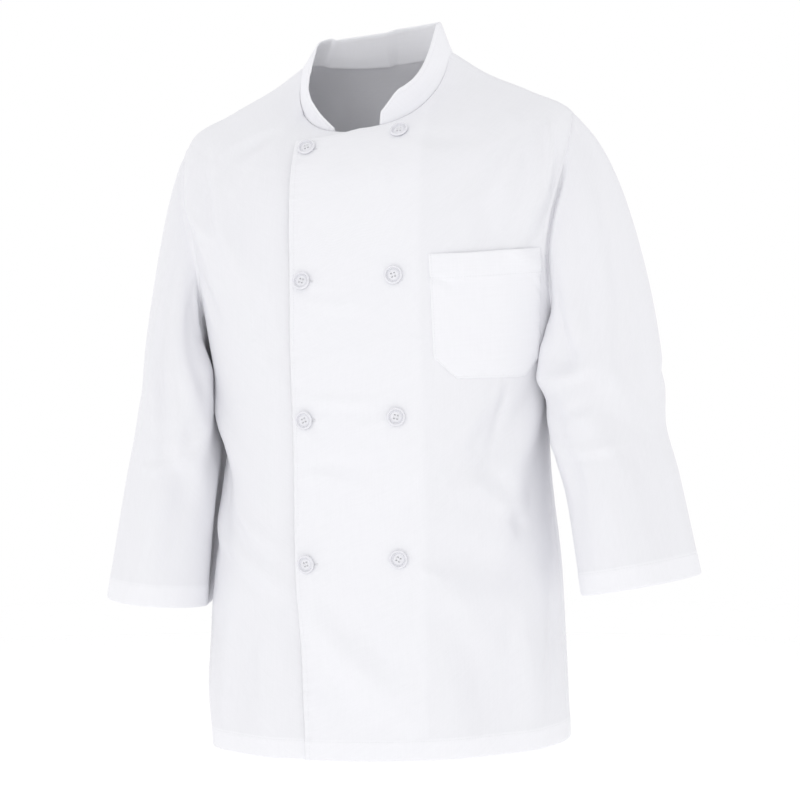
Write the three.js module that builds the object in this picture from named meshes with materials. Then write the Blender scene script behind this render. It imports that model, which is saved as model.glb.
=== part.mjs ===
// A double-breasted chef jacket with a stand collar and three-quarter sleeves, open at neck, cuffs and
// hem, in the shape it takes when worn. Every piece of cloth is a thin closed wall.
// Millimetres, +Z up. The wearer faces -Y, so +X is the wearer's left. The origin lies midway between the
// two points where the shoulder seams meet the collar.
import * as THREE from "three";

// Cloth
const PLY = 1.2; // wall of one panel
const HEM_PLY = 2.0; // wall where the edge is turned up
const SEAM_GAP = 0.3; // clear space between neighbouring pieces
const LAYER_STEP = HEM_PLY + 2 * SEAM_GAP; // from one layer to the layer lying on it

// Body
const BODY_LENGTH = 828; // collar seam to hem, down over the shoulder and the side
const HEM_HEIGHT = 22;
const ARMHOLE_TOP = 160; // down the side, where the shoulder seam ends
const ARMHOLE_BOTTOM = 385; // down the side, where the side seam starts
const ARMHOLE_FRONT = 26; // degrees that the armhole reaches round to the front
const ARMHOLE_BACK = 27; // and to the back
const ARMHOLE_ROUNDNESS = 0.62;

// Front, measured from the centre line
const LAP = 66; // top front, over the wearer's right side
const LAP_SWING = 10; // how far the lap falls open at the hem
const UNDERLAP = 78; // front beneath it, over the wearer's left side

// The right front slips under the lap within a short way before the lap's edge.
const SLIP = { atNeck: 9, below: 30, before: 3 };

// Neck edge of a front. start: from the centre line. It stays level for a share of its way to the corner,
// which lies this far down.
const TOP_EDGE = { start: 27, level: 0.35, corner: 66, power: 1.2 };

// Collar: a band round the neck whose ends are rounded off. seat: clear of the panels' edges. easing: how
// much closer its columns lie towards the ends.
const COLLAR = { ply: 2.4, seat: 1.0, easing: 0.6, columns: 44, rows: 3 };

// Its ends. stop: from the centre line. height: left at the very end, as a share of the full height.
// degrees: over which it is rounded off. The right end lies beneath the lap and is cut away more.
const COLLAR_ENDS = {
  left: { stop: 25, height: 0.42, degrees: 20 },
  right: { stop: 27, height: 0.1, degrees: 34 },
};

// Patch pocket on the wearer's left breast. The two near values are from the centre line, at top and bottom.
const POCKET = {
  topDown: 278, // down the front, like the rings below
  topFall: 14, // how much lower the top edge lies at its outer end
  bottomDown: 430,
  nearTop: 87,
  nearBottom: 91,
  width: 120,
  corner: 22,
  hem: 27,
  gap: 0.4,
  columns: 14,
};

// Buttons, in two columns on the lap
const BUTTON = { radius: 9.7, foot: 8.4, rim: 3.3, rimInner: 7.2, well: 2.0, wellRadius: 6.3, sides: 14 };
const BUTTON_COLUMN = 50.5; // from the centre line
const BUTTON_GAP = 0.6; // above the cloth

const MIDDLE = { front: 90, back: 270 }; // degrees round the body
const radians = THREE.MathUtils.degToRad;
const degrees = THREE.MathUtils.radToDeg;
const { clamp, lerp, smoothstep } = THREE.MathUtils;

// Names the columns of a short table, so that each row becomes an object.
function table(columns, rows) {
  return rows.map((row) => Object.fromEntries(columns.map((column, i) => [column, row[i]])));
}

// Places of the buttons. side: 1 for the wearer's left. down: like the rings below.
const BUTTONS = table(
  ["side", "down"],
  [
    [1, 47],
    [-1, 82],
    [1, 303],
    [-1, 308],
    [1, 470],
    [-1, 474],
    [1, 618],
    [-1, 624],
  ],
);

// Rings round the neck and body. down: from the collar seam, along the side. sideZ, frontZ, backZ: heights.
// fall, rise: how the ring leaves the side towards the front and the back. sway: how much higher the
// wearer's left side is. front, back: depths. square: 2 makes an ellipse, more a boxier ring.
const RING_COLUMNS = [
  ...["down", "sideZ", "frontZ", "backZ", "fall", "rise", "sway"],
  ...["halfWidth", "front", "back", "centreX", "centreY", "square"],
];
const BODY_RINGS = table(RING_COLUMNS, [
  [0, -2, -85, 4, 106, 20, 3, 85, 65, 60, -1, 0, 2.2],
  [45, -25, -98, -18, 46, 16, 3, 121, 79, 82, 0, 0, 2.3],
  [100, -48, -116, -50, 22, 10, 5, 170, 92, 100, 1, 0, 2.2],
  [160, -76, -143, -92, 8, 5, 5, 218, 104, 113, 3, 0, 2.2],
  [230, -146, -194, -152, 0, 0, 4, 228, 114, 121, 5, 0, 2.3],
  [307, -226, -250, -228, 0, 0, 2, 212, 120, 124, 8, 0, 2.4],
  [385, -304, -312, -305, 0, 0, 0, 198, 122, 121, 9, 0, 2.4],
  [500, -420, -422, -420, 0, 0, 0, 181, 120, 112, 11, 0, 2.3],
  [640, -560, -563, -560, 0, 0, 3, 193, 115, 118, 12, 0, 2.25],
  [828, -746, -752, -744, 0, 0, 9, 200, 115, 125, 14, 0, 2.25],
]);
const [COLLAR_TOP] = table(RING_COLUMNS, [[-37, 25, -56, 38, 104, 20, 6, 69.5, 73, 47, 1, -5, 3.3]]);
const UNDERARM_Z = BODY_RINGS.find((ring) => ring.down === ARMHOLE_BOTTOM).sideZ;

// Folds on the body, each along a line between two places. angle: degrees round from the wearer's left side
// over the front. bend: how far the line bows sideways. height: out from the cloth, or below 0 into it.
const FOLD_COLUMNS = ["angle", "down", "toAngle", "toDown", "bend", "width", "height"];
const BODY_FOLDS = table(FOLD_COLUMNS, [
  [16, 150, 44, 272, 12, 15, 4.5],
  [26, 110, 64, 240, -10, 13, 3.5],
  [8, 452, 58, 560, -16, 17, 5.5],
  [4, 430, 44, 640, 16, 20, 5.0],
  [30, 470, 76, 590, 12, 17, -4.0],
  [18, 620, 30, 850, 8, 24, 6.0],
  [52, 640, 48, 850, -8, 26, -5.0],
  [106, 600, 70, 800, 16, 22, 5.0],
  [164, 150, 136, 330, -12, 16, 4.5],
  [150, 120, 124, 260, 8, 14, -3.5],
  [174, 400, 128, 540, 16, 18, 5.5],
  [176, 470, 140, 640, -14, 18, -4.5],
  [158, 610, 150, 850, 10, 24, 6.0],
  [128, 640, 132, 850, 0, 24, -4.5],
  [196, 330, 236, 520, 18, 20, 6.5],
  [190, 410, 222, 620, 10, 20, 5.5],
  [344, 330, 304, 520, -18, 20, 6.5],
  [350, 410, 318, 620, -10, 20, 5.5],
  [214, 200, 232, 420, 8, 18, 5.0],
  [326, 200, 308, 420, -8, 18, 5.0],
  [222, 600, 216, 850, 8, 26, 7.0],
  [248, 560, 252, 850, -6, 28, -6.0],
  [272, 590, 270, 850, 6, 30, 6.5],
  [296, 560, 290, 850, 6, 28, -6.0],
  [320, 600, 326, 850, -8, 26, 7.0],
]);
const BODY_DEGREE = 3; // millimetres of cloth for one degree round the body
const TROUGH = { share: 0.4, away: 1.7, spread: 0.6 }; // beside each ridge, in widths of the ridge

// Sections of the sleeves, square to the arm. x: away from the body. out, fore: half sizes outwards and to
// the front. lean: degrees that the arm is held away from the body.
const SLEEVE_COLUMNS = ["x", "y", "z", "out", "fore", "lean"];
const SLEEVES = {
  left: {
    capFullness: 186,
    sections: table(SLEEVE_COLUMNS, [
      [253, -8, -345, 64, 74, 12],
      [263, -20, -410, 60, 71, 12],
      [281, -32, -465, 59, 68, 12],
      [303, -46, -565, 62, 66, 11],
    ]),
  },
  right: {
    capFullness: 84,
    sections: table(SLEEVE_COLUMNS, [
      [216, -12, -345, 46, 82, 6],
      [217, -28, -415, 50, 76, 6],
      [222, -36, -475, 55, 72, 6],
      [237, -48, -597, 57, 69, 5],
    ]),
  },
};
const CAP_LEAVE_UNDER = 34; // how strongly the sleeve leaves the armhole at the underarm
const CAP_SETTLE = { top: 170, under: 40 }; // and how strongly it settles along the arm
const CAP_EASE = 1.2; // rows of the cap lie closer together near the armhole
const SLEEVE_CLEARANCE = 8; // from the body, below the armhole
const SLEEVE_SOFTNESS = 6; // how softly the sleeve gives way to the body
const SLEEVE_HEM = 24;
const SLEEVE_INSET = 2.9; // the sleeve starts this far inside the edge of the armhole

// Folds on each sleeve. angle: degrees from its outer line over the front. down: in sections, cap first.
const SLEEVE_FOLDS = {
  left: table(FOLD_COLUMNS, [
    [50, 0.05, 62, 1.5, 10, 13, 4.0],
    [110, 0.35, 74, 1.7, -12, 12, 4.5],
    [165, 1.2, 88, 1.75, 8, 12, -4.0],
    [175, 1.9, 60, 2.3, 8, 13, 4.0],
    [30, 1.6, 22, 3.8, 6, 16, 4.0],
    [100, 2.2, 112, 3.9, 0, 18, 4.0],
    [300, 0.1, 296, 1.7, -10, 14, 4.5],
    [200, 1.7, 290, 2.2, 8, 13, 4.0],
    [250, 2.0, 244, 3.8, 0, 18, -4.0],
    [142, 0.12, 138, 1.3, 0, 17, 13.0],
  ]),
  right: table(FOLD_COLUMNS, [
    [70, 0.1, 92, 2.0, -8, 12, 4.5],
    [120, 0.5, 110, 2.4, 8, 11, 4.0],
    [40, 0.8, 52, 3.2, 8, 15, -4.0],
    [150, 2.1, 70, 2.7, 8, 13, 4.0],
    [96, 2.6, 100, 3.9, 0, 17, 4.0],
    [300, 0.1, 300, 1.8, -10, 14, 4.5],
    [200, 1.9, 290, 2.4, 8, 13, 4.0],
    [260, 2.3, 252, 3.9, 0, 18, -4.0],
    [142, 0.3, 140, 2.9, 0, 18, 9.0],
  ]),
};
const SLEEVE_DEGREE = 1.2; // millimetres of cloth for one degree round a sleeve
const SLEEVE_SECTION = 95; // and for one section along it

// Cubic blend of a table's rows at a place on its key column.
function rowAt(rows, key, at) {
  const last = rows.length - 1;
  let i = 0;
  while (i < last - 1 && at > rows[i + 1][key]) i++;
  const slope = (column, k) => {
    const a = rows[Math.max(k - 1, 0)];
    const b = rows[Math.min(k + 1, last)];
    return (b[column] - a[column]) / (b[key] - a[key]);
  };
  const span = rows[i + 1][key] - rows[i][key];
  const t = (at - rows[i][key]) / span;
  const made = {};
  for (const column of Object.keys(rows[0])) {
    const rise = t * (1 - t) * (1 - t) * span * slope(column, i);
    const fall = t * t * (t - 1) * span * slope(column, i + 1);
    made[column] = lerp(rows[i][column], rows[i + 1][column], t * t * (3 - 2 * t)) + rise + fall;
  }
  return made;
}

// Height of the folds at a place. Each fold is a soft ridge with a shallow trough along one side.
function foldHeight(folds, angle, down, perAngle, perDown) {
  let height = 0;
  for (const fold of folds) {
    const place = (a, d) => new THREE.Vector2((a - fold.angle) * perAngle, (d - fold.down) * perDown);
    const along = place(fold.toAngle, fold.toDown);
    const here = place(angle, down);
    const length = along.length();
    const t = clamp(here.dot(along) / (length * length), 0, 1);
    const side = here.cross(along) / length - fold.bend * 4 * t * (1 - t);
    const q = side / fold.width;
    const ridge = Math.exp(-q * q) - TROUGH.share * Math.exp(-((q - TROUGH.away) ** 2) / TROUGH.spread);
    height += fold.height * Math.sin(Math.PI * t) * ridge;
  }
  return height;
}

// Unit normal of a surface given as a function of two parameters.
function normalAt(surface, a, b, stepA, stepB) {
  const alongA = surface(a + stepA, b).sub(surface(a - stepA, b));
  const alongB = surface(a, b + stepB).sub(surface(a, b - stepB));
  return alongA.cross(alongB).normalize();
}

// A point of a ring. angle: degrees round from the wearer's left side over the front.
function ringPoint(ring, angle) {
  const c = Math.cos(radians(angle));
  const s = Math.sin(radians(angle));
  const power = 2 / ring.square;
  const across = Math.sign(c) * Math.abs(c) ** power;
  const reach = Math.abs(s) ** power;
  const towards = s > 0 ? [-ring.front, ring.frontZ, -ring.fall] : [ring.back, ring.backZ, ring.rise];
  const [depth, endZ, slope] = towards;
  return new THREE.Vector3(
    ring.centreX + ring.halfWidth * across,
    ring.centreY + depth * reach,
    ring.sideZ + slope * reach + (endZ - ring.sideZ - slope) * reach * reach + ring.sway * across,
  );
}

// A point of the body without folds.
const bodyForm = (angle, down) => ringPoint(rowAt(BODY_RINGS, "down", down), angle);

// The same point on the folded cloth.
function bodyPoint(angle, down) {
  const turn = ((angle % 360) + 360) % 360;
  const height = foldHeight(BODY_FOLDS, turn, down, BODY_DEGREE, 1);
  return bodyForm(angle, down).addScaledVector(normalAt(bodyForm, angle, down, 1, 4), height);
}

const bodyNormal = (angle, down) => normalAt(bodyPoint, angle, down, 1, 4);

// A point moved out from the middle of the body's cloth.
function onBody(angle, down, out) {
  return bodyPoint(angle, down).addScaledVector(bodyNormal(angle, down), out);
}

// The angle at which the front of a ring lies at a distance to the wearer's left of the centre line.
function angleAtX(x, down) {
  const ring = rowAt(BODY_RINGS, "down", down);
  const share = clamp(Math.abs(x) / ring.halfWidth, 0, 1);
  const angle = degrees(Math.acos(share ** (ring.square / 2)));
  return x > 0 ? angle : 180 - angle;
}

const centreDistance = (angle, down) => bodyForm(angle, down).x - rowAt(BODY_RINGS, "down", down).centreX;

// How far the armhole reaches round from the side at a level, in degrees.
function armholeReach(down, widest) {
  const share = (down - ARMHOLE_TOP) / (ARMHOLE_BOTTOM - ARMHOLE_TOP);
  return share <= 0 || share >= 1 ? 0 : widest * Math.sin(Math.PI * share) ** ARMHOLE_ROUNDNESS;
}

// An angle at the side that leaves a little more than half of the seam gap.
function seamReach(down) {
  const ring = rowAt(BODY_RINGS, "down", down);
  const reach = (SEAM_GAP * 0.7) / Math.min(ring.front, ring.back);
  return degrees(Math.asin(reach ** (ring.square / 2)));
}

const sideReach = (down, widest) => Math.max(armholeReach(down, widest), seamReach(down));

// Levels of the grid rows: over the shoulder, past the armhole (both closer at the armhole's ends) and down
// to the hem.
function bodyLevels(shoulderRows, armholeRows, skirtRows) {
  const levels = [];
  for (let i = 0; i < shoulderRows; i++) {
    levels.push(ARMHOLE_TOP * Math.sin((Math.PI * i) / (2 * shoulderRows)));
  }
  for (let i = 0; i <= armholeRows; i++) {
    levels.push(lerp(ARMHOLE_TOP, ARMHOLE_BOTTOM, (1 - Math.cos((Math.PI * i) / armholeRows)) / 2));
  }
  const hemTop = BODY_LENGTH - HEM_HEIGHT;
  for (let i = 1; i <= skirtRows; i++) levels.push(lerp(ARMHOLE_BOTTOM, hemTop, i / skirtRows));
  levels.push(BODY_LENGTH);
  return levels;
}

// Closed wall from a grid of point pairs: pairAt(row, column) gives the outer and the inner point. Rows run
// down and columns run clockwise seen from above. A round wall closes on itself sideways.
function wall(rows, columns, round, pairAt) {
  const across = round ? columns : columns + 1;
  const outer = [];
  const inner = [];
  for (let r = 0; r <= rows; r++)
    for (let c = 0; c < across; c++) {
      const [o, i] = pairAt(r, c);
      outer.push(o);
      inner.push(i);
    }
  const half = outer.length;
  const id = (r, c) => r * across + (c % across);
  const faces = [];
  const quad = (a, b, c, d) => faces.push(a, b, c, a, c, d);
  for (let r = 0; r < rows; r++)
    for (let c = 0; c < columns; c++) {
      const [p, q, s, t] = [id(r, c), id(r, c + 1), id(r + 1, c + 1), id(r + 1, c)];
      quad(p, q, s, t);
      quad(half + p, half + t, half + s, half + q);
    }
  for (let c = 0; c < columns; c++) {
    const [a, b] = [id(0, c), id(0, c + 1)];
    quad(b, a, half + a, half + b);
    const [d, e] = [id(rows, c), id(rows, c + 1)];
    quad(d, e, half + e, half + d);
  }
  if (!round)
    for (let r = 0; r < rows; r++) {
      const [a, b] = [id(r, 0), id(r + 1, 0)];
      quad(a, b, half + b, half + a);
      const [d, e] = [id(r, columns), id(r + 1, columns)];
      quad(e, d, half + d, half + e);
    }
  const points = [...outer, ...inner].flatMap((p) => p.toArray());
  const geometry = new THREE.BufferGeometry();
  geometry.setAttribute("position", new THREE.Float32BufferAttribute(points, 3));
  geometry.setIndex(faces);
  geometry.computeVertexNormals();
  return geometry;
}

const LEVELS = bodyLevels(6, 12, 11);

// Wall of a body panel. from(down) and to(down) give its two side edges as angles, drop(share) how far below
// the collar seam it starts, and lift(angle, down) how far it lies off the middle surface.
function bodyPanel({ columns, from, to, drop = () => 0, lift = () => 0 }) {
  return wall(LEVELS.length - 1, columns, false, (r, c) => {
    const share = c / columns;
    const downAt = (place) => drop(place) + LEVELS[r] * (1 - drop(place) / BODY_LENGTH);
    const down = downAt(share);
    const angle = lerp(from(downAt(0)), to(downAt(1)), share);
    const out = lift(angle, down) + PLY / 2;
    const ply = r >= LEVELS.length - 2 ? HEM_PLY : PLY;
    return [onBody(angle, down, out), onBody(angle, down, out - ply)];
  });
}

// How far the top edge of a front lies below the collar seam. share: from its shoulder to its corner, which
// lies past the centre line by lap.
function topDrop(share, lap) {
  const start = angleAtX(TOP_EDGE.start, 0);
  const end = angleAtX(-lap, TOP_EDGE.corner);
  const past = (share * end - start) / (end - start);
  return TOP_EDGE.corner * clamp((past - TOP_EDGE.level) / (1 - TOP_EDGE.level), 0, 1) ** TOP_EDGE.power;
}

// Edge of the lap, from the centre line.
const lapEdge = (down) => -LAP + LAP_SWING * smoothstep(down, 0.7 * BODY_LENGTH, BODY_LENGTH);

function leftFront() {
  return bodyPanel({
    columns: 15,
    from: (down) => sideReach(down, ARMHOLE_FRONT),
    to: (down) => angleAtX(lapEdge(down), down),
    drop: (share) => topDrop(share, LAP),
  });
}

// How far the right front lies in: it slips under the lap within a short way before the lap's edge.
function underLift(angle, down) {
  const way = lerp(SLIP.atNeck, SLIP.below, smoothstep(down, 0, TOP_EDGE.corner));
  return -LAYER_STEP * smoothstep(centreDistance(angle, down), -LAP - way, -LAP - SLIP.before);
}

function rightFront() {
  return bodyPanel({
    columns: 15,
    from: (down) => angleAtX(UNDERLAP, down),
    to: (down) => 180 - sideReach(down, ARMHOLE_FRONT),
    drop: (share) => topDrop(1 - share, UNDERLAP),
    lift: underLift,
  });
}

function back() {
  return bodyPanel({
    columns: 24,
    from: (down) => 180 + sideReach(down, ARMHOLE_BACK),
    to: (down) => 360 - sideReach(down, ARMHOLE_BACK),
  });
}

// A point of the armhole's edge, moved into the hole. turn: degrees from its top, over the front, to the top.
function armholePoint(side, turn) {
  const place = (reach, down) => bodyPoint(side === "left" ? reach : 180 - reach, down);
  const down = lerp(ARMHOLE_TOP, ARMHOLE_BOTTOM, (1 - Math.cos(radians(turn))) / 2);
  const reach = turn < 180 ? armholeReach(down, ARMHOLE_FRONT) : -armholeReach(down, ARMHOLE_BACK);
  const point = place(reach, down);
  const inward = place(0, (ARMHOLE_TOP + ARMHOLE_BOTTOM) / 2).sub(point).normalize();
  return point.addScaledVector(inward, SLEEVE_INSET);
}

// How far the body's side reaches below the armhole, at a height and a distance to the front or back.
function bodySide(side, y, z) {
  const ring = rowAt(BODY_RINGS, "down", clamp(ARMHOLE_BOTTOM + UNDERARM_Z - z, ARMHOLE_BOTTOM, BODY_LENGTH));
  const share = clamp(Math.abs(y) / (y < 0 ? ring.front : ring.back), 0, 1);
  const half = ring.halfWidth * (1 - share ** ring.square) ** (1 / ring.square);
  return side === "left" ? half + ring.centreX : half - ring.centreX;
}

// A point of a sleeve without folds. turn: as at the armhole. along: 0 to 1 over the cap, then one step for
// each further section of the arm.
function sleeveForm(side, turn, along) {
  const { sections, capFullness } = SLEEVES[side];
  const numbered = sections.map((section, i) => ({ at: i + 1, ...section }));
  const section = rowAt(numbered, "at", Math.max(along, 1));
  const ahead = rowAt(numbered, "at", Math.max(along, 1) + 0.05);
  const c = Math.cos(radians(turn));
  const s = Math.sin(radians(turn));
  const lean = radians(section.lean);
  const point = new THREE.Vector3(
    section.x + section.out * c * Math.cos(lean),
    section.y - section.fore * s,
    section.z + section.out * c * Math.sin(lean),
  );
  if (along < 1) {
    const seam = armholePoint(side, turn);
    if (side === "right") seam.x = -seam.x;
    const high = (1 + c) / 2;
    const leave = new THREE.Vector3(lerp(0.5, 0.87, high), -0.35 * s, -lerp(0.85, 0.5, high));
    const settle = new THREE.Vector3(ahead.x - section.x, ahead.y - section.y, ahead.z - section.z);
    leave.setLength(lerp(CAP_LEAVE_UNDER, capFullness, high));
    settle.setLength(lerp(CAP_SETTLE.under, CAP_SETTLE.top, high));
    point.lerpVectors(seam, point, along * along * (3 - 2 * along));
    point.addScaledVector(leave, along * (1 - along) * (1 - along));
    point.addScaledVector(settle, along * along * (along - 1));
  }
  if (point.z < UNDERARM_Z) {
    const free = clamp(along * 2, 0.05, 1);
    const near = bodySide(side, point.y, point.z) + SLEEVE_CLEARANCE * free;
    const over = point.x - near;
    point.x = near + (over + Math.hypot(over, SLEEVE_SOFTNESS * free)) / 2;
  }
  if (side === "right") point.x = -point.x;
  return point;
}

function sleevePoint(side, turn, along) {
  const form = (a, b) => sleeveForm(side, a, b);
  const facing = side === "left" ? 1 : -1;
  const around = ((turn % 360) + 360) % 360;
  const fade = smoothstep(along, 0, 0.2);
  const height = fade * foldHeight(SLEEVE_FOLDS[side], around, along, SLEEVE_DEGREE, SLEEVE_SECTION);
  return form(around, along).addScaledVector(normalAt(form, around, along, 2, 0.02), facing * height);
}

function sleeve(side) {
  const turns = 24;
  const capRows = 9;
  const armRows = 13;
  const cuff = SLEEVES[side].sections.length;
  const hemTop = cuff - SLEEVE_HEM / SLEEVE_SECTION;
  const steps = [];
  for (let i = 0; i <= capRows; i++) steps.push((i / capRows) ** CAP_EASE);
  for (let i = 1; i <= armRows; i++) steps.push(lerp(1, hemTop, i / armRows));
  steps.push(cuff);
  const facing = side === "left" ? 1 : -1;
  const surface = (turn, along) => sleevePoint(side, turn, along);
  return wall(steps.length - 1, turns, true, (r, c) => {
    const turn = (360 + (facing * 360 * c) / turns) % 360;
    const normal = normalAt(surface, turn, steps[r], 2, 0.02).multiplyScalar(facing);
    const ply = r >= steps.length - 2 ? HEM_PLY : PLY;
    const middle = surface(turn, steps[r]);
    const outer = middle.clone().addScaledVector(normal, PLY / 2);
    return [outer, middle.addScaledVector(normal, PLY / 2 - ply)];
  });
}

// A place on the collar's middle surface and its outward normal. up: 0 at the seam, 1 at the full height.
function collarPlace(angle, up) {
  const neck = BODY_RINGS[0];
  const lift = angle > MIDDLE.front && angle < MIDDLE.back ? underLift(angle, 0) : 0;
  const along = ringPoint(neck, angle + 1).sub(ringPoint(neck, angle - 1)).normalize();
  const seam = onBody(angle, 0, lift);
  const ahead = along.clone().cross(bodyNormal(angle, 0)).normalize();
  const upward = ringPoint(COLLAR_TOP, angle).sub(ringPoint(neck, angle));
  const outward = upward.clone().cross(along).normalize();
  const tipped = Math.abs(ahead.dot(outward)) * (COLLAR.ply / 2);
  seam.addScaledVector(ahead, COLLAR.seat + tipped);
  return { point: seam.addScaledVector(upward, up), outward };
}

// The collar's height near one of its ends, as a share of the full height.
function roundedHeight(fromEnd, end) {
  return lerp(end.height, 1, Math.sin((Math.PI / 2) * clamp(fromEnd / end.degrees, 0, 1)));
}

// The band runs from its end on the wearer's right round the back of the neck to the other.
function collar() {
  const { left, right } = COLLAR_ENDS;
  const first = angleAtX(-right.stop, 0);
  const last = angleAtX(left.stop, 0) + 360;
  return wall(COLLAR.rows, COLLAR.columns, false, (r, c) => {
    const even = c / COLLAR.columns;
    const eased = (1 - Math.cos(Math.PI * even)) / 2;
    const angle = lerp(first, last, lerp(even, eased, COLLAR.easing));
    const height = Math.min(roundedHeight(angle - first, right), roundedHeight(last - angle, left));
    const { point, outward } = collarPlace(angle % 360, height * (1 - r / COLLAR.rows));
    const half = outward.multiplyScalar(COLLAR.ply / 2);
    return [point.clone().add(half), point.clone().sub(half)];
  });
}

// The angle reached by going a length of cloth round the body towards the wearer's left side.
function angleAlong(angle, down, length) {
  const steps = 24;
  for (let i = 0; i < steps; i++) {
    const degree = bodyForm(angle, down).distanceTo(bodyForm(angle - 1, down));
    angle -= length / steps / degree;
  }
  return angle;
}

// A place on the pocket. across: 0 to 1 away from the centre line. below: 0 to 1 from its top edge.
function pocketPlace(across, below) {
  const height = POCKET.bottomDown - POCKET.topDown;
  const down = POCKET.topDown + below * height + POCKET.topFall * across * (1 - below);
  const clipped = Math.max(0, POCKET.corner - (1 - below) * height);
  const near = angleAtX(lerp(POCKET.nearTop, POCKET.nearBottom, below), down);
  const width = lerp(clipped, POCKET.width - clipped, across);
  return [angleAlong(near, down, width), down];
}

function pocket() {
  const height = POCKET.bottomDown - POCKET.topDown;
  const cornerTop = height - POCKET.corner;
  const rows = [0, POCKET.hem / 2, POCKET.hem];
  for (let i = 1; i <= 4; i++) rows.push(lerp(POCKET.hem, cornerTop, i / 4));
  rows.push(height - POCKET.corner / 2, height);
  return wall(rows.length - 1, POCKET.columns, false, (r, c) => {
    const [angle, down] = pocketPlace(1 - c / POCKET.columns, rows[r] / height);
    const inner = PLY / 2 + POCKET.gap;
    const ply = rows[r] <= POCKET.hem ? HEM_PLY : PLY;
    return [onBody(angle, down, inner + ply), onBody(angle, down, inner)];
  });
}

// A round button with a raised rim and a sunken middle, its back on the plane of its own origin.
function button() {
  const { radius, foot, rim, rimInner, well, wellRadius, sides } = BUTTON;
  const profile = table(
    ["r", "z"],
    [
      [0, 0],
      [foot, 0],
      [radius, 0.4 * rim],
      [radius, 0.8 * rim],
      [foot, rim],
      [rimInner, rim],
      [wellRadius, well],
      [0, well],
    ],
  );
  const outline = profile.map(({ r, z }) => new THREE.Vector2(r, z));
  return new THREE.LatheGeometry(outline, sides).rotateX(Math.PI / 2);
}

const group = new THREE.Group();

function add(name, geometry, colour, roughness) {
  const material = new THREE.MeshStandardMaterial({ color: colour, roughness, metalness: 0 });
  const mesh = new THREE.Mesh(geometry, material);
  mesh.name = name;
  group.add(mesh);
  return mesh;
}

const addCloth = (name, geometry) => add(name, geometry, 0xf3f3f6, 0.85);

// Sews a button on the lap, square to the cloth.
function addButton({ side, down }, number) {
  const angle = angleAtX(side * BUTTON_COLUMN, down);
  const mesh = add(`button_${number}`, button(), 0xe9e9ea, 0.35);
  mesh.position.copy(onBody(angle, down, PLY / 2 + BUTTON_GAP));
  mesh.quaternion.setFromUnitVectors(new THREE.Vector3(0, 0, 1), bodyNormal(angle, down));
}

addCloth("front_left", leftFront());
addCloth("front_right", rightFront());
addCloth("back", back());
addCloth("collar", collar());
addCloth("sleeve_left", sleeve("left"));
addCloth("sleeve_right", sleeve("right"));
addCloth("pocket", pocket());
BUTTONS.forEach((place, i) => addButton(place, i + 1));

export default group;
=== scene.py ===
# %% [markdown]
# # A double-breasted cook's jacket
# The jacket is white cotton twill: two fronts that overlap, a back, two sleeves, a stand collar and a
# pocket, closed with two columns of buttons. It keeps the shape that it takes when worn, and it is hollow.
#
# The solids of the part are thin plain walls. Here each wall is covered by a finer sheet of cloth on the
# same form, with creases, seams, stitches and a weave. Lengths in the tables are millimetres, as in the
# part's source, and become metres when a mesh is made. +X is the jacket's left side, and it faces -Y.

# %% Load the solids and keep their size
import math

import bmesh
import bpy
import numpy as np
from mathutils import Matrix, Vector


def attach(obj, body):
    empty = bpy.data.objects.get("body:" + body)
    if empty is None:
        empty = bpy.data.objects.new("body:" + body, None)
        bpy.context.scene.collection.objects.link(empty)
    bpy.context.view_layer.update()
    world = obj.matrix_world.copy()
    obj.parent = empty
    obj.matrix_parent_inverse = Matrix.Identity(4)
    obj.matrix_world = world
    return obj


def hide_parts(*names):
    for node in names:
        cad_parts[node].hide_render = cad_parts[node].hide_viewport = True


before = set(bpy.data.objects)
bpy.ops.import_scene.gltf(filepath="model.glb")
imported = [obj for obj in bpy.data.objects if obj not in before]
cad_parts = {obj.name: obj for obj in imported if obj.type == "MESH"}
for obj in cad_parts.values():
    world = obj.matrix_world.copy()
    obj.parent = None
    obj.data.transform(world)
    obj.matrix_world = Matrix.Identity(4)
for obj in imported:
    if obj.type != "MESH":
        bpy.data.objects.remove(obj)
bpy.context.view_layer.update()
MM = 0.001
print("solids:", ", ".join(sorted(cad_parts)))

# %% [markdown]
# ## Camera, light and floor
# The photograph is taken level with the waist, from a little to the jacket's left, with a long lens. White
# cloth against white needs light from everywhere: a bright surround, weaker from above and behind, fills
# each fold. One broad lamp left of the camera and two from behind, at either side, give the folds a lit
# and a shaded flank. The floor lies as far down as it does under a standing person, and fades into the
# surround, so no horizon crosses the picture.

# %% Helpers for objects, meshes and shader nodes
def add_object(name, data):
    made = bpy.data.objects.new(name, data)
    bpy.context.scene.collection.objects.link(made)
    return made


def add_mesh(name, shape):
    """The mesh of a bmesh, which is freed."""
    mesh = bpy.data.meshes.new(name)
    shape.to_mesh(mesh)
    shape.free()
    return mesh


def feed(socket, value):
    """Give an input a constant, or a link from an output or from a node's first output."""
    if isinstance(value, bpy.types.Node):
        value = value.outputs[0]
    if isinstance(value, bpy.types.NodeSocket):
        socket.id_data.links.new(value, socket)
    else:
        socket.default_value = value


def put(node, **values):
    """Set a node's inputs and settings. A name's underscores stand for spaces in an input's name."""
    for name, value in values.items():
        socket = node.inputs.get(name.replace("_", " "))
        if socket is None:
            setattr(node, name, value)
        else:
            feed(socket, value)
    return node


def add_node(tree, kind, *first, **values):
    """A shader node, set beside those before it. Values without a name go to its first inputs."""
    made = tree.nodes.new("ShaderNode" + kind)
    made.location = 200 * len(tree.nodes), 0
    put(made, **values)
    for socket, value in zip(made.inputs, first):
        feed(socket, value)
    return made


def fade(tree, value, start, end, low, high):
    """A number that goes from low to high while a value goes from start to end."""
    return add_node(tree, "MapRange", value, start, end, low, high)


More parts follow.
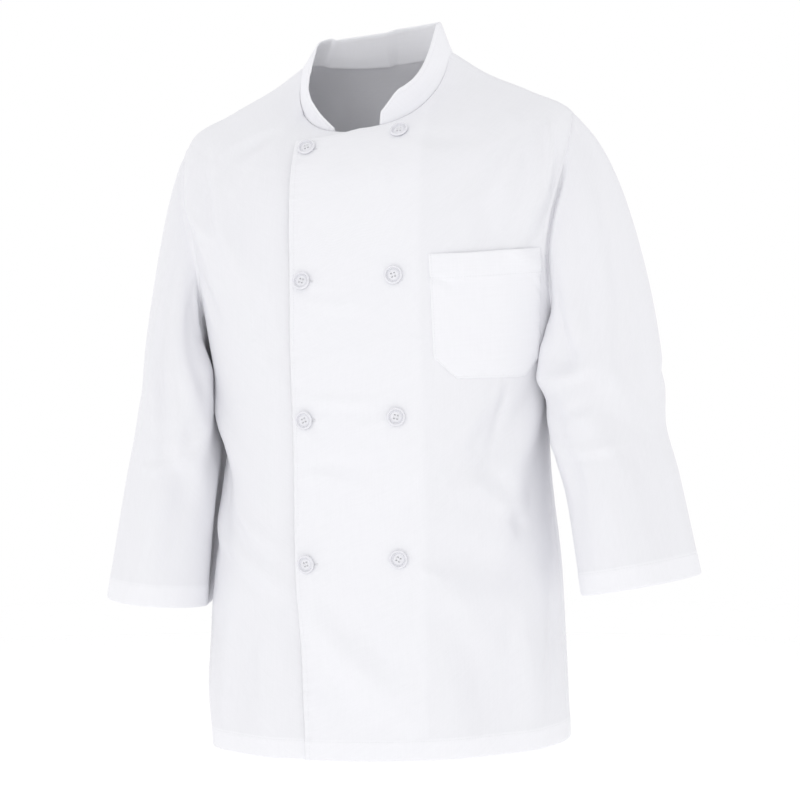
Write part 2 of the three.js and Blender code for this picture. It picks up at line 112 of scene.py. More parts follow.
def add_material(name, **finish):
    """A material, its nodes and its main shader, whose finish is set."""
    material = bpy.data.materials.new(name)
    material.use_nodes = True
    tree = material.node_tree
    return material, tree, put(tree.nodes["Principled BSDF"], **finish)


WHITE = (1, 1, 1, 1)
print("helpers for objects, meshes and shader nodes")

# %% Camera
AZIMUTH = math.radians(18)
CAMERA_DISTANCE, CAMERA_SIDESTEP, CAMERA_HEIGHT = 2.2, 0.0253, -0.375
FOCAL_LENGTH, SENSOR_WIDTH = 90, 36
look = Vector((-math.sin(AZIMUTH), math.cos(AZIMUTH), 0))
right_hand = Vector((math.cos(AZIMUTH), math.sin(AZIMUTH), 0))

camera = add_object("camera", bpy.data.cameras.new("camera"))
camera.data.lens, camera.data.sensor_width = FOCAL_LENGTH, SENSOR_WIDTH
camera.location = right_hand * CAMERA_SIDESTEP - look * CAMERA_DISTANCE + Vector((0, 0, CAMERA_HEIGHT))
camera.rotation_euler = look.to_track_quat("-Z", "Y").to_euler()
bpy.context.scene.camera = camera
print("camera at", [round(x, 3) for x in camera.location])

# %% Surround
LIGHT_BELOW, LIGHT_ABOVE, LIGHT_BEHIND = 0.955, 0.89, 0.5
UPWARD, BACKWARD = (-0.1, 1.0), (0.25, 0.9)
world = bpy.data.worlds.new("surround")
world.use_nodes = True
tree = world.node_tree
way = add_node(tree, "SeparateXYZ", add_node(tree, "TexCoord").outputs["Generated"])
above = fade(tree, way.outputs["Z"], *UPWARD, LIGHT_BELOW, LIGHT_ABOVE)
behind = fade(tree, way.outputs["Y"], *BACKWARD, 1.0, LIGHT_BEHIND)
strength = add_node(tree, "Math", above, behind, operation="MULTIPLY")
lit = put(tree.nodes["Background"], Color=WHITE, Strength=strength)
seen = add_node(tree, "Background", Color=WHITE, Strength=1.0)
from_camera = add_node(tree, "LightPath").outputs["Is Camera Ray"]
put(tree.nodes["World Output"], Surface=add_node(tree, "MixShader", from_camera, lit, seen))
bpy.context.scene.world = world
bpy.context.scene.view_settings.view_transform = "Standard"
print(f"surround: {LIGHT_BELOW} of white from below, {LIGHT_ABOVE} from above, times {LIGHT_BEHIND} behind")

# %% Lamps
JACKET_MIDDLE = Vector((0, 0, -0.4))


def add_lamp(name, azimuth, height, distance, size, power):
    """A square lamp round the jacket, turned to its middle. Azimuth 0 is straight in front."""
    turn = math.radians(azimuth)
    lamp = add_object(name, bpy.data.lights.new(name, "AREA"))
    lamp.data.size, lamp.data.energy = size, power
    lamp.location = (math.sin(turn) * distance, -math.cos(turn) * distance, height)
    lamp.rotation_euler = (JACKET_MIDDLE - lamp.location).to_track_quat("-Z", "Y").to_euler()


add_lamp("key", -6, 0.25, 3.4, 1.4, 8)
add_lamp("left", 128, 1.2, 3.0, 1.2, 14)
add_lamp("right", 240, 1.6, 3.0, 1.0, 12)
print("one lamp in front and two behind, the rest is the surround")

# %% Floor
FLOOR_HEIGHT, FLOOR_RADIUS = -1.45, 9.0
FLOOR_COLOUR = (0.93, 0.93, 0.93, 1)
FADE_START, FADE_END = 2.5, FLOOR_RADIUS * 0.98
shape = bmesh.new()
bmesh.ops.create_circle(shape, cap_ends=True, segments=96, radius=FLOOR_RADIUS)
bmesh.ops.translate(shape, verts=shape.verts, vec=(0, 0, FLOOR_HEIGHT))
floor = add_object("floor", add_mesh("floor", shape))
paint, tree, shader = add_material(
    "pale_floor", Base_Color=FLOOR_COLOUR, Roughness=0.9, Emission_Color=WHITE, Emission_Strength=0.24
)
place = add_node(tree, "TexCoord").outputs["Object"]
away = add_node(tree, "VectorMath", place, operation="LENGTH").outputs["Value"]
put(shader, Alpha=fade(tree, away, FADE_START, FADE_END, 1.0, 0.0))
floor.data.materials.append(paint)
print("floor", FLOOR_HEIGHT, "m below the shoulders")

# %% [markdown]
# ## The form under the cloth
# The part's source gives the body as rings round the neck, chest and hem, blended from one to the next,
# and folds as soft ridges with a shallow trough at one side. The same tables and formulas are used here, so
# that the fine cloth lies on the solids. They could be read from the solids' own triangles, but the
# formulas give a place and a direction at any fineness. They work on whole grids at once, with NumPy.

# %% Rings of the body
# down, sideZ, frontZ, backZ, fall, rise, sway, halfWidth, front, back, centreX, centreY, square
BODY_RINGS = np.array([
    [0, -2, -85, 4, 106, 20, 3, 85, 65, 60, -1, 0, 2.2],
    [45, -25, -98, -18, 46, 16, 3, 121, 79, 82, 0, 0, 2.3],
    [100, -48, -116, -50, 22, 10, 5, 170, 92, 100, 1, 0, 2.2],
    [160, -76, -143, -92, 8, 5, 5, 218, 104, 113, 3, 0, 2.2],
    [230, -146, -194, -152, 0, 0, 4, 228, 114, 121, 5, 0, 2.3],
    [307, -226, -250, -228, 0, 0, 2, 212, 120, 124, 8, 0, 2.4],
    [385, -304, -312, -305, 0, 0, 0, 198, 122, 121, 9, 0, 2.4],
    [500, -420, -422, -420, 0, 0, 0, 181, 120, 112, 11, 0, 2.3],
    [640, -560, -563, -560, 0, 0, 3, 193, 115, 118, 12, 0, 2.25],
    [828, -746, -752, -744, 0, 0, 9, 200, 115, 125, 14, 0, 2.25],
], float)
COLLAR_TOP = np.array([-37, 25, -56, 38, 104, 20, 6, 69.5, 73, 47, 1, -5, 3.3], float)
BODY_LENGTH = BODY_RINGS[-1, 0]
ARMHOLE_TOP, ARMHOLE_BOTTOM = 160, 385
UNDERARM_Z = -304


def smooth(value, low, high):
    t = np.clip((value - low) / (high - low), 0, 1)
    return t * t * (3 - 2 * t)


def lerp(a, b, t):
    return a + (b - a) * t


def blended(rows, at):
    """Cubic blend of a table's rows at places on its first column. The columns come first in the answer."""
    key, last = rows[:, 0], len(rows) - 1
    before, after = np.maximum(np.arange(last + 1) - 1, 0), np.minimum(np.arange(last + 1) + 1, last)
    slope = (rows[after] - rows[before]) / (key[after] - key[before])[:, None]
    i = np.clip(np.searchsorted(key, at) - 1, 0, last - 1)
    span = (key[i + 1] - key[i])[..., None]
    t = (np.asarray(at, float) - key[i])[..., None] / span
    bend = t * (1 - t) ** 2 * span * slope[i] + t * t * (t - 1) * span * slope[i + 1]
    return np.moveaxis(lerp(rows[i], rows[i + 1], t * t * (3 - 2 * t)) + bend, -1, 0)


def ring_point(ring, angle):
    """A point of a ring. Angle 0 is the left side, 90 the front, 180 the right side and 270 the back."""
    _, side_z, front_z, back_z, fall, rise, sway, half, front, back, centre_x, centre_y, square = ring
    c, s = np.cos(np.radians(angle)), np.sin(np.radians(angle))
    across, reach = np.sign(c) * np.abs(c) ** (2 / square), np.abs(s) ** (2 / square)
    ends = ((-front, back), (front_z, back_z), (-fall, rise))
    depth, end_z, slope = (np.where(s > 0, ahead, behind) for ahead, behind in ends)
    height = side_z + slope * reach + (end_z - side_z - slope) * reach**2 + sway * across
    return np.stack([centre_x + half * across, centre_y + depth * reach, height], -1)


def unit(vector):
    return vector / np.maximum(np.linalg.norm(vector, axis=-1, keepdims=True), 1e-9)


def normals(surface, a, b, step_a, step_b):
    """Unit normals of a surface that is a function of two parameters."""
    along_a = surface(a + step_a, b) - surface(a - step_a, b)
    along_b = surface(a, b + step_b) - surface(a, b - step_b)
    return unit(np.cross(along_a, along_b))


def body_form(angle, down):
    return ring_point(blended(BODY_RINGS, down), angle)


print("body of", len(BODY_RINGS), "rings,", round(BODY_LENGTH), "mm from collar seam to hem")

# %% Main folds of the body, as in the solids
# angle, down, toAngle, toDown, bend, width, height, taper
BODY_FOLDS = [
    (16, 150, 44, 272, 12, 15, 4.5, 0), (26, 110, 64, 240, -10, 13, 3.5, 0),
    (8, 452, 58, 560, -16, 17, 5.5, 0), (4, 430, 44, 640, 16, 20, 5, 0), (30, 470, 76, 590, 12, 17, -4, 0),
    (18, 620, 30, 850, 8, 24, 6, 0), (52, 640, 48, 850, -8, 26, -5, 0), (106, 600, 70, 800, 16, 22, 5, 0),
    (164, 150, 136, 330, -12, 16, 4.5, 0), (150, 120, 124, 260, 8, 14, -3.5, 0),
    (174, 400, 128, 540, 16, 18, 5.5, 0), (176, 470, 140, 640, -14, 18, -4.5, 0),
    (158, 610, 150, 850, 10, 24, 6, 0), (128, 640, 132, 850, 0, 24, -4.5, 0),
    (196, 330, 236, 520, 18, 20, 6.5, 0), (190, 410, 222, 620, 10, 20, 5.5, 0),
    (344, 330, 304, 520, -18, 20, 6.5, 0), (350, 410, 318, 620, -10, 20, 5.5, 0),
    (214, 200, 232, 420, 8, 18, 5, 0), (326, 200, 308, 420, -8, 18, 5, 0),
    (222, 600, 216, 850, 8, 26, 7, 0), (248, 560, 252, 850, -6, 28, -6, 0),
    (272, 590, 270, 850, 6, 30, 6.5, 0), (296, 560, 290, 850, 6, 28, -6, 0),
    (320, 600, 326, 850, -8, 26, 7, 0),
]
BODY_DEGREE = 3
TROUGH_SHARE, TROUGH_AWAY, TROUGH_SPREAD = 0.4, 1.7, 0.6


def fold_height(folds, angle, down, per_angle, per_down):
    """How far the folds stand out at a place. A tapered fold starts narrow and ends wide."""
    height = np.zeros(np.broadcast(angle, down).shape)
    for start, start_down, end, end_down, bend, width, rise, taper in folds:
        along = np.array([(end - start) * per_angle, (end_down - start_down) * per_down])
        here_x, here_y = (angle - start) * per_angle, (down - start_down) * per_down
        length = math.hypot(*along)
        t = np.clip((here_x * along[0] + here_y * along[1]) / length**2, 0, 1)
        side = (here_x * along[1] - here_y * along[0]) / length - bend * 4 * t * (1 - t)
        q = side / (width * (1 + taper * (t - 0.5)))
        ridge = np.exp(-q * q) - TROUGH_SHARE * np.exp(-((q - TROUGH_AWAY) ** 2) / TROUGH_SPREAD)
        height += rise * np.sin(math.pi * t) * ridge
    return height


print(len(BODY_FOLDS), "main folds on the body")

# %% [markdown]
# ## Creases
# Between the main folds real cloth has smaller creases: fans that leave the armholes, drags between
# buttons, bends inside the elbows and at the waist. A cloth simulation would make some of its own, but not
# these, so they are listed here, one row each, uneven in length, depth and spacing. The hidden sides
# get similar ones. The columns are those of the main folds, with a taper: most start narrow at the seam
# that pulls them and end wide.

# %% Creases of the body
BODY_CREASES = [
    # right chest, from the shoulder down and from the armhole
    (120, 104, 119, 306, 5, 15, -5, 0.3), (137, 176, 123, 320, -8, 11, 4.2, 0.4),
    (130, 52, 126, 190, 6, 12, -4.2, 0.5), (152, 215, 132, 262, 6, 8, 2.9, 0.6),
    (114, 320, 113, 420, 3, 8, -2.3, 0.2), (157, 300, 138, 372, -6, 9, -3.2, 0.6),
    # right waist and hem
    (143, 556, 110, 614, 6, 9, 3.5, 0.5), (152, 596, 106, 664, -6, 11, 3.8, 0.4),
    (170, 420, 150, 500, 8, 10, 3.5, 0.5), (172, 470, 146, 566, -8, 9, -3.2, 0.5),
    (166, 560, 140, 622, 8, 10, 2.9, 0.4), (138, 690, 134, 812, 4, 14, -2.9, 0.2),
    (152, 676, 158, 815, -4, 13, 2.6, 0.3), (122, 690, 118, 800, 3, 12, 2, 0.2),
    # lap
    (92, 108, 90, 242, 3, 10, 1.6, 0.3), (80, 98, 84, 262, -4, 9, 2, 0.4),
    (100, 128, 101, 300, 2, 9, -1.6, 0.3), (101, 636, 76, 748, 6, 13, -4.1, 0.4),
    (97, 684, 82, 786, -5, 12, 2.9, 0.3), (107, 449, 82, 453, 3, 6, 1.9, 0),
    (106, 520, 84, 531, -3, 8, -2, 0.2), (98, 330, 86, 348, 3, 9, 1.3, 0.2),
    (104, 303, 92, 318, 3, 5, 1.3, 0.6), (72, 306, 60, 331, -4, 5, -1.4, 0.6),
    (76, 470, 88, 487, 3, 5, 1.4, 0.6), (104, 476, 94, 500, -3, 5, -1.3, 0.6),
    (73, 618, 60, 642, 4, 6, 1.6, 0.6), (105, 624, 96, 602, 3, 5, 1.3, 0.6),
    # left chest, from the collar, the shoulder and the armhole
    (64, 56, 48, 142, 8, 18, -2, 0.2), (38, 160, 52, 256, 4, 14, 3.5, 0.3),
    (22, 148, 31, 254, 6, 7, 3.2, 0.6), (24, 184, 33, 296, -6, 9, -3.6, 0.5),
    (33, 172, 42, 300, -6, 10, 3.2, 0.5), (53, 188, 50, 292, 4, 12, -2.9, 0.3),
    (24, 318, 46, 276, -6, 9, 2.6, 0.6),
    # left waist and hem
    (30, 438, 48, 532, 8, 12, -3.8, 0.4), (48, 516, 28, 600, -10, 12, -3.4, -0.3),
    (42, 552, 22, 561, 6, 12, 4.1, 0.2), (36, 424, 44, 530, -8, 7, -2.9, 0.5),
    (72, 608, 22, 633, 4, 22, -4.2, 0.2), (70, 622, 44, 738, -10, 18, 4.1, 0.4),
    (52, 700, 50, 806, 2, 16, -3.2, 0.2), (14, 520, 38, 590, 10, 12, 2.4, 0.4),
    (6, 640, 20, 806, 4, 14, -3.8, 0.3), (34, 664, 30, 790, -3, 12, 2.8, 0.3),
    # back
    (344, 172, 322, 262, 8, 8, 3.2, 0.8), (338, 158, 312, 210, -6, 7, -2.6, 0.8),
    (348, 300, 320, 372, -8, 9, 3.5, 0.7), (196, 172, 216, 268, -8, 8, 3.2, 0.8),
    (202, 156, 230, 214, 6, 7, -2.6, 0.8), (192, 305, 222, 366, 8, 9, 3.5, 0.7),
    (238, 60, 240, 150, 4, 12, -2.3, 0.4), (300, 66, 296, 160, -4, 12, 2.3, 0.4),
    (262, 120, 258, 260, 6, 16, 2.6, 0.3), (284, 200, 288, 420, -6, 18, -2.9, 0.2),
    (240, 420, 276, 500, -10, 10, 2.6, 0.4), (310, 468, 276, 540, 8, 11, -2.9, 0.4),
    (206, 520, 236, 600, 8, 10, 2.9, 0.5), (332, 500, 306, 606, -8, 11, 3.2, 0.5),
]


def creased_body(angle, down):
    height = fold_height(BODY_FOLDS + BODY_CREASES, np.mod(angle, 360), down, BODY_DEGREE, 1)
    return body_form(angle, down) + normals(body_form, angle, down, 1, 4) * height[..., None]


print(len(BODY_CREASES), "creases on the body")

# %% Edges of the cut pieces on the body
PLY, HEM_PLY, LAYER_STEP = 1.2, 2.0, 3.4
SEAM_GAP = 0.05
HEM_HEIGHT, HEM_STITCH = 22, 2
ARMHOLE_FRONT, ARMHOLE_BACK, ARMHOLE_ROUNDNESS = 26, 27, 0.62
LAP, LAP_SWING, UNDERLAP = 66, 10, 78
SLIP_AT_NECK, SLIP_BELOW, SLIP_BEFORE = 9, 30, 3
TOP_START, TOP_LEVEL, TOP_CORNER, TOP_POWER = 27, 0.35, 66, 1.2


def angle_at(x, down):
    """The angle at which the front lies x to the left of the centre line."""
    ring = blended(BODY_RINGS, down)
    share = np.clip(np.abs(x) / ring[7], 0, 1)
    angle = np.degrees(np.arccos(share ** (ring[12] / 2)))
    return np.where(np.asarray(x) > 0, angle, 180 - angle)


def centre_distance(angle, down):
    return body_form(angle, down)[..., 0] - blended(BODY_RINGS, down)[10]


def armhole_reach(down, widest):
    share = np.clip((down - ARMHOLE_TOP) / (ARMHOLE_BOTTOM - ARMHOLE_TOP), 0, 1)
    return widest * np.maximum(np.sin(math.pi * share), 0) ** ARMHOLE_ROUNDNESS


def side_reach(down, widest):
    ring = blended(BODY_RINGS, down)
    seam = np.degrees(np.arcsin((SEAM_GAP * 0.7 / np.minimum(ring[8], ring[9])) ** (ring[12] / 2)))
    return np.maximum(armhole_reach(down, widest), seam)


def lap_edge(down):
    return -LAP + LAP_SWING * smooth(down, 0.7 * BODY_LENGTH, BODY_LENGTH)


def top_drop(share, lap):
    """How far the neck edge of a front lies below the collar seam, from its shoulder to its corner."""
    start, end = angle_at(TOP_START, 0), angle_at(-lap, TOP_CORNER)
    past = (share * end - start) / (end - start)
    return TOP_CORNER * np.clip((past - TOP_LEVEL) / (1 - TOP_LEVEL), 0, 1) ** TOP_POWER


def under_lift(angle, down):
    """The right front slips under the lap within a short way before the lap's edge."""
    way = lerp(SLIP_AT_NECK, SLIP_BELOW, smooth(down, 0, TOP_CORNER))
    return -LAYER_STEP * smooth(centre_distance(angle, down), -LAP - way, -LAP - SLIP_BEFORE)


print("the lap reaches", LAP, "mm past the centre line, the front beneath it", UNDERLAP)

# %% [markdown]
# ## From a flat cut to a worn piece
# Each piece starts as what it is on the cutting table: a flat slab, here a grid that is extruded to a
# second skin. Every point of the slab is then laid on the form. The grid's rows and columns lie close
# together at hems and stitched edges, so that a groove or a turned edge has points to show it, and
# further apart on open cloth. The cloth's own lengths across and down are kept as the UV map, in metres,
# so the weave has its true scale and follows the grain.

# %% Stations: closer together near the ends
def stations(length, step, fine_start=0, fine_end=0, fine_step=1.3):
    """Places from 0 to length, a fine step apart near an end that asks for it."""
    places = [0.0]
    while places[-1] < length:
        here = places[-1]
        to_start, to_end = here - fine_start, length - fine_end - here
        near = (fine_start and to_start < 0) or (fine_end and to_end < 0)
        ease = min(max(to_start, 0) if fine_start else step * 9, max(to_end, 0) if fine_end else step * 9)
        places.append(here + (fine_step if near else min(step, fine_step + ease * 0.3)))
    return np.array(places) * length / places[-1]


def body_levels(step):
    """Levels of the rows: over the shoulder, past the armhole and down to the fine rows of the hem."""
    shoulder = ARMHOLE_TOP * np.sin(np.linspace(0, math.pi / 2, round(ARMHOLE_TOP / step) + 1))[:-1]
    turn = np.linspace(0, math.pi, round((ARMHOLE_BOTTOM - ARMHOLE_TOP) / step * 1.3))
    armhole = lerp(ARMHOLE_TOP, ARMHOLE_BOTTOM, (1 - np.cos(turn)) / 2)
    skirt = ARMHOLE_BOTTOM + stations(BODY_LENGTH - ARMHOLE_BOTTOM, step, fine_end=HEM_HEIGHT + 6)[1:]
    return np.concatenate([shoulder, armhole, skirt])


STEP = 3.4
LEVELS = body_levels(STEP)
print(len(LEVELS), "rows on a body panel")


# %% A piece of cloth on its form
class Cloth:
    """A grid of points on a form, with the cloth's own lengths across and down in millimetres."""

    def __init__(self, point):
        self.point, self.normal = point, grid_normals(point)
        self.ply = np.full(point.shape[:2], PLY)
        self.doubled = np.zeros(point.shape[:2])
        across = np.linalg.norm(np.diff(point, axis=1), axis=2)
        down = np.linalg.norm(np.diff(point, axis=0), axis=2)
        self.across = np.pad(np.cumsum(across, 1), ((0, 0), (1, 0)))
        self.down = np.pad(np.cumsum(down, 0), ((1, 0), (0, 0)))
        self.left, self.right = self.across, self.across[:, -1:] - self.across
        self.top, self.bottom = self.down, self.down[-1:] - self.down

    def raise_by(self, height):
        self.point = self.point + self.normal * height[..., None]

    def line(self, distance, at, each="row", where=None):
        """The outer skin where a distance has a value, at each row or each column: points and normals."""
        turn = (lambda grid: grid) if each == "row" else (lambda grid: np.swapaxes(grid, 0, 1))
        point, normal = turn(self.point + self.normal * PLY / 2), turn(self.normal)
        field = turn(distance) - at
        crossed = field[:, :-1] * field[:, 1:] <= 0
        if where is not None:
            crossed &= turn(where)[:, :-1]
        i = np.flatnonzero(crossed.any(1))
        k = crossed[i].argmax(1)
        t = (field[i, k] / (field[i, k] - field[i, k + 1] + 1e-12))[:, None]
        return lerp(point[i, k], point[i, k + 1], t), normal[i, k]

    def area(self):
        a, b = np.diff(self.point, axis=1)[:-1], np.diff(self.point, axis=0)[:, :-1]
        return np.linalg.norm(np.cross(a, b), axis=2).sum() * MM**2


def grid_normals(point):
    """Outward unit normals of a grid whose columns run clockwise seen from above and whose rows run down."""
    return unit(np.cross(np.gradient(point, axis=1), np.gradient(point, axis=0)))


def groove(distance, at, depth=0.35, width=1.1):
    return -depth * np.exp(-(((distance - at) / width) ** 2))


def pucker(distance, at, along, height=0.3, reach=7, seed=0):
    """Small uneven waves along a row of stitches, strongest beside it."""
    rng = np.random.default_rng(seed)
    wave = sum(np.sin(along * 2 * math.pi / length + rng.uniform(0, 7)) for length in rng.uniform(9, 24, 4))
    slow = 0.6 + 0.4 * np.sin(along / rng.uniform(25, 45) + rng.uniform(0, 7))
    return height * 0.5 * wave * slow * np.exp(-(((distance - at) / reach) ** 2))


def sunk_edge(distance):
    """The edge of a piece goes down into its seam."""
    return -0.5 * np.exp(-distance / 1.6)


def turned_edge(distance, width, height=0.35):
    """Cloth that is turned in along an edge stands a little higher, and rounds off at the very edge."""
    return height * (1 - smooth(distance, width - 1.2, width + 1.2)) - 0.5 * np.exp(-distance / 0.8)


def turn_hem(cloth, width, seed):
    """A hem along the lower edge, turned up and stitched."""
    cloth.ply = lerp(HEM_PLY, PLY, smooth(cloth.bottom, width - 1.5, width + 1.5))
    cloth.doubled = np.maximum(cloth.doubled, 1 - smooth(cloth.bottom, width - 1, width + 1))
    cloth.raise_by(turned_edge(cloth.bottom, width) + groove(cloth.bottom, width - HEM_STITCH))
    cloth.raise_by(pucker(cloth.bottom, width - HEM_STITCH, cloth.across, 0.35, 9, seed))


print("helpers for grooves, puckers, seams and hems")

# %% Make the mesh of a piece
EDGE_THINNED = 0.42
SHARP_CLOTH = math.radians(60)


def new_object(name, mesh, material, slot, *nodes):
    made = add_object(name, mesh)
    mesh.materials.append(material)
    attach(made, "root")
    if nodes:
        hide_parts(*nodes)


def sew(name, cloth, material):
    """The closed shell of a piece: a flat slab whose points are laid on the form, thinner at its edges."""
    rows, columns = (n - 1 for n in cloth.point.shape[:2])
    shape = bmesh.new()
    bmesh.ops.create_grid(shape, x_segments=columns, y_segments=rows, size=0.5)
    skin = bmesh.ops.extrude_face_region(shape, geom=shape.faces[:])["geom"]
    bmesh.ops.translate(shape, verts=[v for v in skin if isinstance(v, bmesh.types.BMVert)], vec=(0, 0, -1))
    mesh = add_mesh(name, shape)

    flat = np.empty(len(mesh.vertices) * 3)
    mesh.vertices.foreach_get("co", flat)
    x, y, z = flat.reshape(-1, 3).T
    c = np.rint((x + 0.5) * columns).astype(int)
    r = np.rint((0.5 - y) * rows).astype(int)
    depth = np.rint(z).astype(int)
    edge = np.minimum(np.minimum(cloth.left, cloth.right), np.minimum(cloth.top, cloth.bottom))
    thinned = (EDGE_THINNED * np.exp(-edge / 0.7))[r, c]
    out = PLY / 2 - thinned + depth * (cloth.ply[r, c] - 2 * thinned)
    mesh.vertices.foreach_set("co", ((cloth.point[r, c] + cloth.normal[r, c] * out[:, None]) * MM).ravel())

    corner = np.empty(len(mesh.loops), int)
    mesh.loops.foreach_get("vertex_index", corner)
    grain = np.stack([cloth.across[r, c], -cloth.down[r, c]], -1)[corner] * MM
    mesh.uv_layers.new(name="grain").data.foreach_set("uv", grain.ravel())
    doubled = mesh.attributes.new("doubled", "FLOAT", "POINT")
    doubled.data.foreach_set("value", cloth.doubled[r, c])
    mesh.update()

    shape = bmesh.new()
    shape.from_mesh(mesh)
    bmesh.ops.recalc_face_normals(shape, faces=shape.faces)
    shape.to_mesh(mesh)
    shape.free()
    mesh.shade_smooth()
    mesh.set_sharp_from_angle(angle=SHARP_CLOTH)
    new_object(name, mesh, material, "cloth", name.removesuffix("_cloth"))
    print(f"{name}: {rows} x {columns} faces a side, {cloth.area():.3f} square metres of cloth")


# %% [markdown]
# ## Twill, thread and button plastic
# The cloth is a matt twill: fine diagonal ribs with a yarn that swells and thins, a bare trace of sheen,
# and slightly brighter where it lies double, because less light passes through. The ribs could be an
# image, but a wave on the piece's own UV map stays sharp at any distance and turns with the grain. The
# sewing thread is smoother and shines a little. The buttons are moulded plastic with a satin surface.

# %% Twill
TWILL_PITCH = 0.0011
RIB_LEAN, RIB_SCALE = math.radians(63), math.pi / 10 / TWILL_PITCH
WARP_SCALE, WEFT_SCALE = (620, 34, 1), (30, 520, 1)
SINGLE_CLOTH, DOUBLE_CLOTH = (0.848, 0.848, 0.88, 1), (0.888, 0.888, 0.92, 1)


def twill():
    material, tree, shader = add_material(
        "white_twill", Roughness=0.88, Sheen_Weight=0.06, Sheen_Roughness=0.5, Specular_IOR_Level=0.22
    )
    grain = add_node(tree, "UVMap", uv_map="grain")
    turned = add_node(tree, "Mapping", grain, Rotation=(0, 0, RIB_LEAN))
    ribs = add_node(
        tree, "TexWave", turned, Scale=RIB_SCALE, Distortion=0.6, Detail=1.0, Detail_Scale=0.4
    )
    yarns = []
    for scale in (WARP_SCALE, WEFT_SCALE):
        drawn = add_node(tree, "Mapping", grain, Scale=scale)
        yarns.append(add_node(tree, "TexNoise", drawn, Scale=1.0, Detail=2.0))
    yarn = add_node(tree, "Math", *yarns, operation="ADD")
    yarn_bump = add_node(tree, "Bump", Strength=0.2, Distance=0.00015, Height=yarn)
    bump = add_node(
        tree, "Bump", Strength=0.35, Distance=0.00012, Height=ribs.outputs["Fac"], Normal=yarn_bump
    )
    plies = add_node(tree, "Attribute", attribute_name="doubled").outputs["Fac"]
    tone = add_node(tree, "Mix", plies, data_type="RGBA", A=SINGLE_CLOTH, B=DOUBLE_CLOTH)
    uneven = fade(tree, yarn, 0.7, 1.3, 0.988, 1.008)
    shade = add_node(tree, "VectorMath", tone.outputs["Result"], operation="SCALE", Scale=uneven)
    put(shader, Base_Color=shade, Normal=bump)
    return material


TWILL = twill()
print("twill ribs", TWILL_PITCH / MM, "mm apart")


# %% Thread and button plastic
def plain(name, colour, roughness, grain_scale, grain_depth, low=0.97):
    """A finish of one colour with a fine grain in its tone and its surface."""
    material, tree, shader = add_material(name, Roughness=roughness)
    place = add_node(tree, "TexCoord").outputs["Object"]
    grain = add_node(tree, "TexNoise", place, Scale=grain_scale, Detail=3.0)
    base = add_node(tree, "RGB")
    base.outputs[0].default_value = colour
    tone = fade(tree, grain, 0.3, 0.7, low, 1.0)
    shade = add_node(tree, "VectorMath", base, operation="SCALE", Scale=tone)
    bump = add_node(tree, "Bump", Strength=0.4, Distance=grain_depth, Height=grain)
    put(shader, Base_Color=shade, Normal=bump)
    return material


THREAD_FINISH = plain("sewing_thread", (0.86, 0.86, 0.89, 1), 0.55, 2600, 0.00005, low=0.9)
PLASTIC = plain("button_plastic", (0.82, 0.82, 0.86, 1), 0.2, 300, 0.00003)
print("finishes:", ", ".join(m.name for m in bpy.data.materials))

# %% [markdown]
# ## Fronts and back
# A maker cuts each front with the lap in one piece, turns the lap's edge and the neck edge in, and turns
# the hem up twice. The left front lies on top. Where the right front lies beneath it the cloth is double,
# so it is brighter and stands a touch higher, and that edge shows through as a faint line.

# %% Lay a body panel on the form
def panel(columns, start, end, drop=lambda share: 0.0, lift=None):
    """A body panel between two side edges, given as angles for each level. drop lowers its top edge."""
    def down_at(place):
        return drop(place) + LEVELS[:, None] * (1 - drop(place) / BODY_LENGTH)

    down = down_at(columns)
    angle = lerp(start(down_at(np.zeros(1))), end(down_at(np.ones(1))), columns)
    made = Cloth(creased_body(angle, down))
    made.angle, made.level = angle, down
    if lift is not None:
        made.raise_by(lift(angle, down))
    return made


def finish_body(cloth, seed):
    """The hem, and the seams that join the panels."""
    turn_hem(cloth, HEM_HEIGHT, seed)
    below = smooth(cloth.level, ARMHOLE_BOTTOM, ARMHOLE_BOTTOM + 30)
    for edge in (cloth.left, cloth.right):
        joined = sunk_edge(edge) + pucker(edge, 4, cloth.down, 0.3, 8, seed + 1)
        cloth.raise_by(joined * (1 - smooth(edge, 12, 24)) * lerp(0.6, 1, below))


# about how wide a front and the back are, for the spacing of their columns
FRONT_WIDTH, BACK_WIDTH = 250, 430
LAP_STITCH, SHOULDER_STITCH = 6, 5.5
LAP_RAISED, LAP_BRIGHTER, LAP_BLUR, LAP_WAVE = 0.5, 0.55, 3.5, 0.9
# the neck edge is turned in up to where the shoulder begins: how far from the lap's edge
NECK_TURNED, NECK_STITCHED = (120, 170), 118
front = panel(
    stations(FRONT_WIDTH, STEP, fine_start=8, fine_end=10) / FRONT_WIDTH,
    lambda down: side_reach(down, ARMHOLE_FRONT),
    lambda down: angle_at(lap_edge(down), down),
    lambda share: top_drop(share, LAP),
)
over = smooth(UNDERLAP - centre_distance(front.angle, front.level), -LAP_BLUR, LAP_BLUR)
front.doubled = LAP_BRIGHTER * over
front.raise_by(LAP_RAISED * over)
front.raise_by(turned_edge(front.right, 9, 0.25) + groove(front.right, LAP_STITCH, 0.3))
front.raise_by(pucker(front.right, LAP_STITCH, front.down, 0.3, 9, 3))
front.raise_by(LAP_WAVE * np.sin(front.down / 41) * np.sin(front.down / 97 + 1) * np.exp(-front.right / 9))
neck_edge = 1 - smooth(front.right, *NECK_TURNED)
front.raise_by(neck_edge * (turned_edge(front.top, 8, 0.25) + groove(front.top, LAP_STITCH, 0.3)))
finish_body(front, 11)
LEFT_FRONT = front
sew("front_left_cloth", front, TWILL)

# %% Right front, beneath
front = panel(
    stations(FRONT_WIDTH, STEP, fine_start=6, fine_end=8) / FRONT_WIDTH,
    lambda down: angle_at(UNDERLAP, down),
    lambda down: 180 - side_reach(down, ARMHOLE_FRONT),
    lambda share: top_drop(1 - share, UNDERLAP),
    under_lift,
)
finish_body(front, 21)
RIGHT_FRONT = front
sew("front_right_cloth", front, TWILL)

